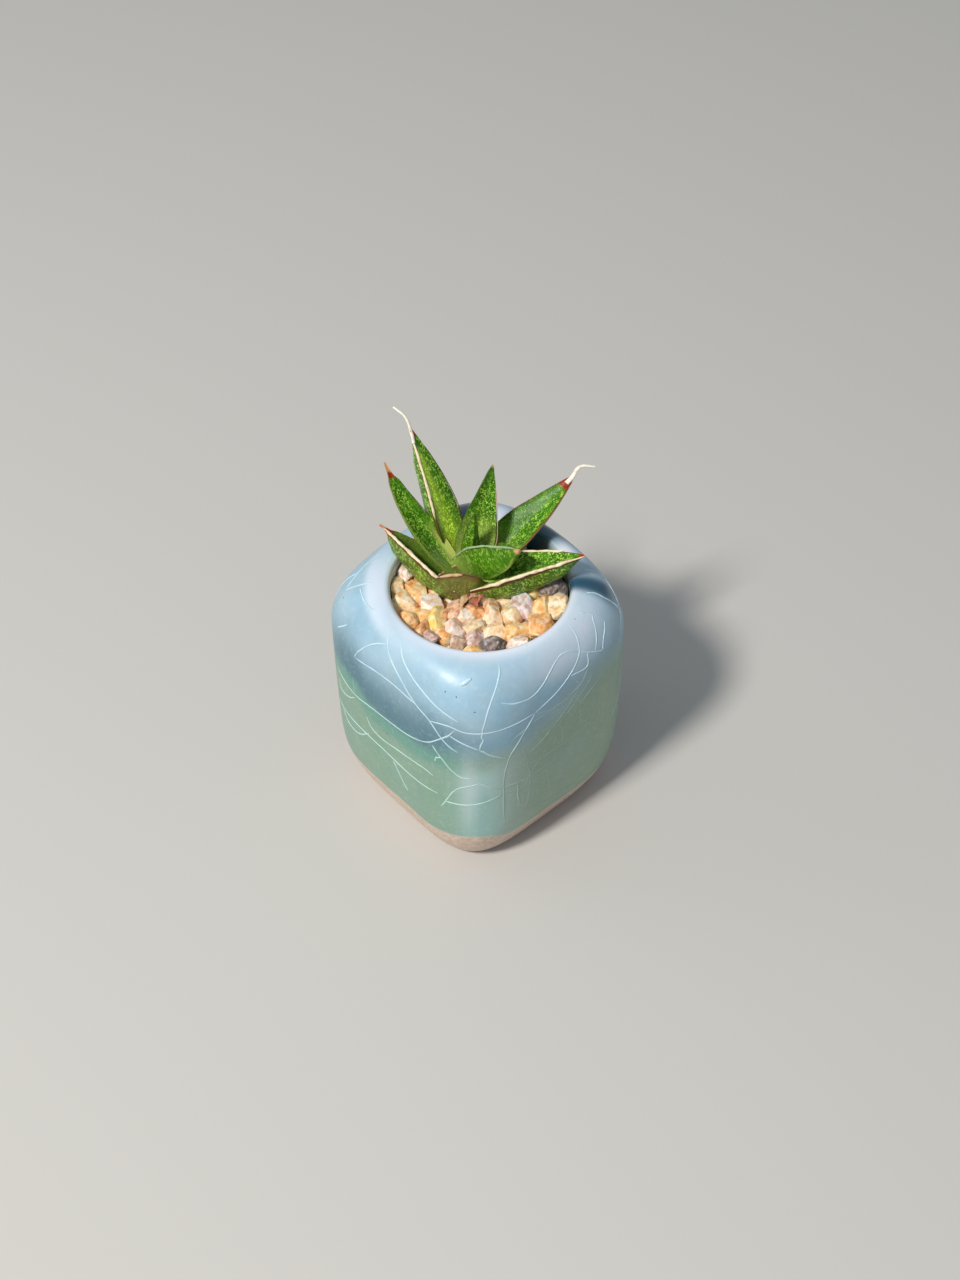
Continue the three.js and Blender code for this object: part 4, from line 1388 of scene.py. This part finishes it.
        def radius(share):
            return blend(*row["thread_half"], share) * (1 + 0.25 * self.uneven(share * 14, 0, 9))

        self.shell.tube(
            curve_through(path, 8), radius, 1, 10, 0.75,
            leaf_place=lambda share: (0, 0, 0), margin_tint=lambda share: MARGIN_TINTS["ivory"],
        )


class HAWORTHIA_OT_leaves(bpy.types.Operator):
    """Grow the rosette of keeled, mottled leaves"""

    bl_idname = "haworthia.leaves"
    bl_label = "Leaves"

    def execute(self, context):
        look = context.scene.haworthia_plant
        finishes = [leaf_finish(look), margin_finish()]
        for number, (name, leaf) in enumerate(LEAVES.items(), 1):
            grown = GrownLeaf(leaf, number)
            made = grown.shell.piece(name.replace("leaf_", "grown_leaf_"), finishes, 70)
            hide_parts(name)
        return {"FINISHED"}


class HAWORTHIA_OT_remnants(bpy.types.Operator):
    """Lay the shreds of old leaf bases at the foot of the rosette"""

    bl_idname = "haworthia.remnants"
    bl_label = "Dried remnants"

    def shred(self, shell, n, finish):
        """One curled shred, which narrows and sinks towards its end."""
        x, y, head, length, width = SHREDS[n]
        rings = []
        for k in range(15):
            t = k / 14
            a = math.radians(head + 32 * t)
            ahead = Vector((math.cos(a), math.sin(a), 0))
            side = Vector((-math.sin(a), math.cos(a), 0))
            at = Vector((x, y, SHRED_HEIGHT + 0.05 * n - 0.9 * t * t)) + ahead * (length * t)
            w = width / 2 * (1 - 0.75 * t**1.4) * (1 + 0.25 * noise.noise(Vector((t * 5, n * 3, 0))))
            ring = []
            for j in range(24):
                upper = j < 12
                s = 1 - 4 * j / 24 if upper else -1 + 4 * (j - 12) / 24
                curl = 0.5 * s * s * (1 - 0.5 * t) + 0.16 * noise.noise(Vector((s * 3, t * 5, n * 4)))
                thick = (0.2 if upper else -0.2) * (1 - 0.7 * s * s)
                ring.append(turned(at + side * (s * w) + Vector((0, 0, curl + thick))))
            rings.append(ring)
        shell.skin(rings, finish)

    def execute(self, context):
        draw = random.Random(5)
        shell = Shell()
        for n in range(len(SHREDS)):
            self.shred(shell, n, draw.choice((0, 0, 1)))
        rust = dry_finish("dried_leaf", (0.24, 0.06, 0.035), (0.54, 0.2, 0.11), 420)
        straw = dry_finish("straw_leaf", (0.42, 0.24, 0.1), (0.74, 0.56, 0.34), 420)
        made = shell.piece("dried_shreds", [rust, straw])
        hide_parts("dried_leaf_remnants")
        return {"FINISHED"}


class HAWORTHIA_OT_core(bpy.types.Operator):
    """Finish the soil and the stem, which keep their solids"""

    bl_idname = "haworthia.core"
    bl_label = "Soil and stem"

    def execute(self, context):
        soil = dry_finish("potting_earth", (0.02, 0.012, 0.008), (0.09, 0.055, 0.03), 300)
        stem = dry_finish("stem_bark", (0.2, 0.14, 0.06), (0.42, 0.34, 0.18), 260)
        for name, finish in (("potting_soil", soil), ("stem_with_roots", stem)):
            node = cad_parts[name]
            node.data.materials.clear()
            node.data.materials.append(finish)
        return {"FINISHED"}


# ---------------------------------------------------------------- stage


def lamp(name, power, way, distance, breadth, tint):
    """A round soft lamp that shines on the pot from a way in the rosette's own frame."""
    data = bpy.data.lights.new(name, "AREA")
    data.shape = "DISK"
    data.size = breadth
    data.energy = power
    data.color = tint
    made = bpy.data.objects.new(name, data)
    aim = turned(Vector(way).normalized())
    made.location = Vector((0, 0, 0.05)) + aim * distance
    made.rotation_euler = aim.to_track_quat("Z", "Y").to_euler()
    bpy.context.scene.collection.objects.link(made)


def camera_at_the_photo():
    """The camera, where the photo was taken from, with its slight lean."""
    camera = bpy.data.cameras.new("camera")
    camera.sensor_fit = "AUTO"
    camera.sensor_width = 36
    camera.lens = CAMERA_LENS
    camera.clip_start = 0.01
    camera.clip_end = 20
    made = bpy.data.objects.new("camera", camera)
    right = Vector((1, 0, 0))
    up = Vector((0, math.sin(CAMERA_TILT), math.cos(CAMERA_TILT)))
    look_back = Vector((0, -math.cos(CAMERA_TILT), math.sin(CAMERA_TILT)))
    across = turned(right * math.cos(CAMERA_LEAN) + up * math.sin(CAMERA_LEAN))
    rise = turned(up * math.cos(CAMERA_LEAN) - right * math.sin(CAMERA_LEAN))
    pose = Matrix((across, rise, turned(look_back))).transposed().to_4x4()
    pose.translation = CAMERA_PLACE * MM
    made.matrix_world = pose
    bpy.context.scene.collection.objects.link(made)
    return made


class HAWORTHIA_OT_stage(bpy.types.Operator):
    """Set the floor, the soft lights and the camera"""

    bl_idname = "haworthia.stage"
    bl_label = "Stage"

    def execute(self, context):
        scene = context.scene
        look = scene.haworthia_stage
        floor = bpy.data.meshes.new("floor")
        r = FLOOR_REACH
        floor.from_pydata([(-r, -r, 0), (r, -r, 0), (r, r, 0), (-r, r, 0)], [], [(0, 1, 2, 3)])
        ground = bpy.data.objects.new("floor", floor)
        scene.collection.objects.link(ground)
        paint = Finish("floor_paint", 0.7)
        paint.colour(look.floor)
        floor.materials.append(paint.material)

        lamp("key", look.key, *KEY_LAMP)
        lamp("fill", look.fill, *FILL_LAMP)
        scene.world = bpy.data.worlds.new("studio")
        scene.world.use_nodes = True
        sky = scene.world.node_tree.nodes["Background"]
        sky.inputs["Color"].default_value = SKY_TINT
        sky.inputs["Strength"].default_value = SKY_STRENGTH
        scene.view_settings.view_transform = "Standard"
        scene.view_settings.exposure = 0.0
        scene.camera = camera_at_the_photo()
        return {"FINISHED"}


# ---------------------------------------------------------------- sidebar and start


class HAWORTHIA_PT_sidebar(bpy.types.Panel):
    """Lists the steps and settings of the potted haworthia"""

    bl_idname = "HAWORTHIA_PT_sidebar"
    bl_label = "Potted Haworthia"
    bl_space_type = "VIEW_3D"
    bl_region_type = "UI"
    bl_category = "Haworthia"

    def draw(self, context):
        scene = context.scene
        for settings in SETTINGS:
            box = self.layout.box()
            group = getattr(scene, settings)
            for name in group.__annotations__:
                box.prop(group, name)
        for step in STEPS:
            self.layout.operator(step.bl_idname)


SETTINGS = {
    "haworthia_pot": PotSettings,
    "haworthia_plant": PlantSettings,
    "haworthia_gravel": GravelSettings,
    "haworthia_stage": StageSettings,
}
STEPS = (
    HAWORTHIA_OT_pot,
    HAWORTHIA_OT_crackle,
    HAWORTHIA_OT_core,
    HAWORTHIA_OT_gravel,
    HAWORTHIA_OT_remnants,
    HAWORTHIA_OT_leaves,
    HAWORTHIA_OT_stage,
)


def register():
    for kind in (*SETTINGS.values(), *STEPS, HAWORTHIA_PT_sidebar):
        bpy.utils.register_class(kind)
    for name, kind in SETTINGS.items():
        setattr(bpy.types.Scene, name, PointerProperty(type=kind))


def unregister():
    for name in SETTINGS:
        delattr(bpy.types.Scene, name)
    for kind in reversed((*SETTINGS.values(), *STEPS, HAWORTHIA_PT_sidebar)):
        bpy.utils.unregister_class(kind)


def main():
    register()
    bpy.ops.haworthia.pot()
    bpy.ops.haworthia.crackle()
    bpy.ops.haworthia.core()
    bpy.ops.haworthia.gravel()
    bpy.ops.haworthia.remnants()
    bpy.ops.haworthia.leaves()
    bpy.ops.haworthia.stage()


if __name__ == "__main__":
    main()
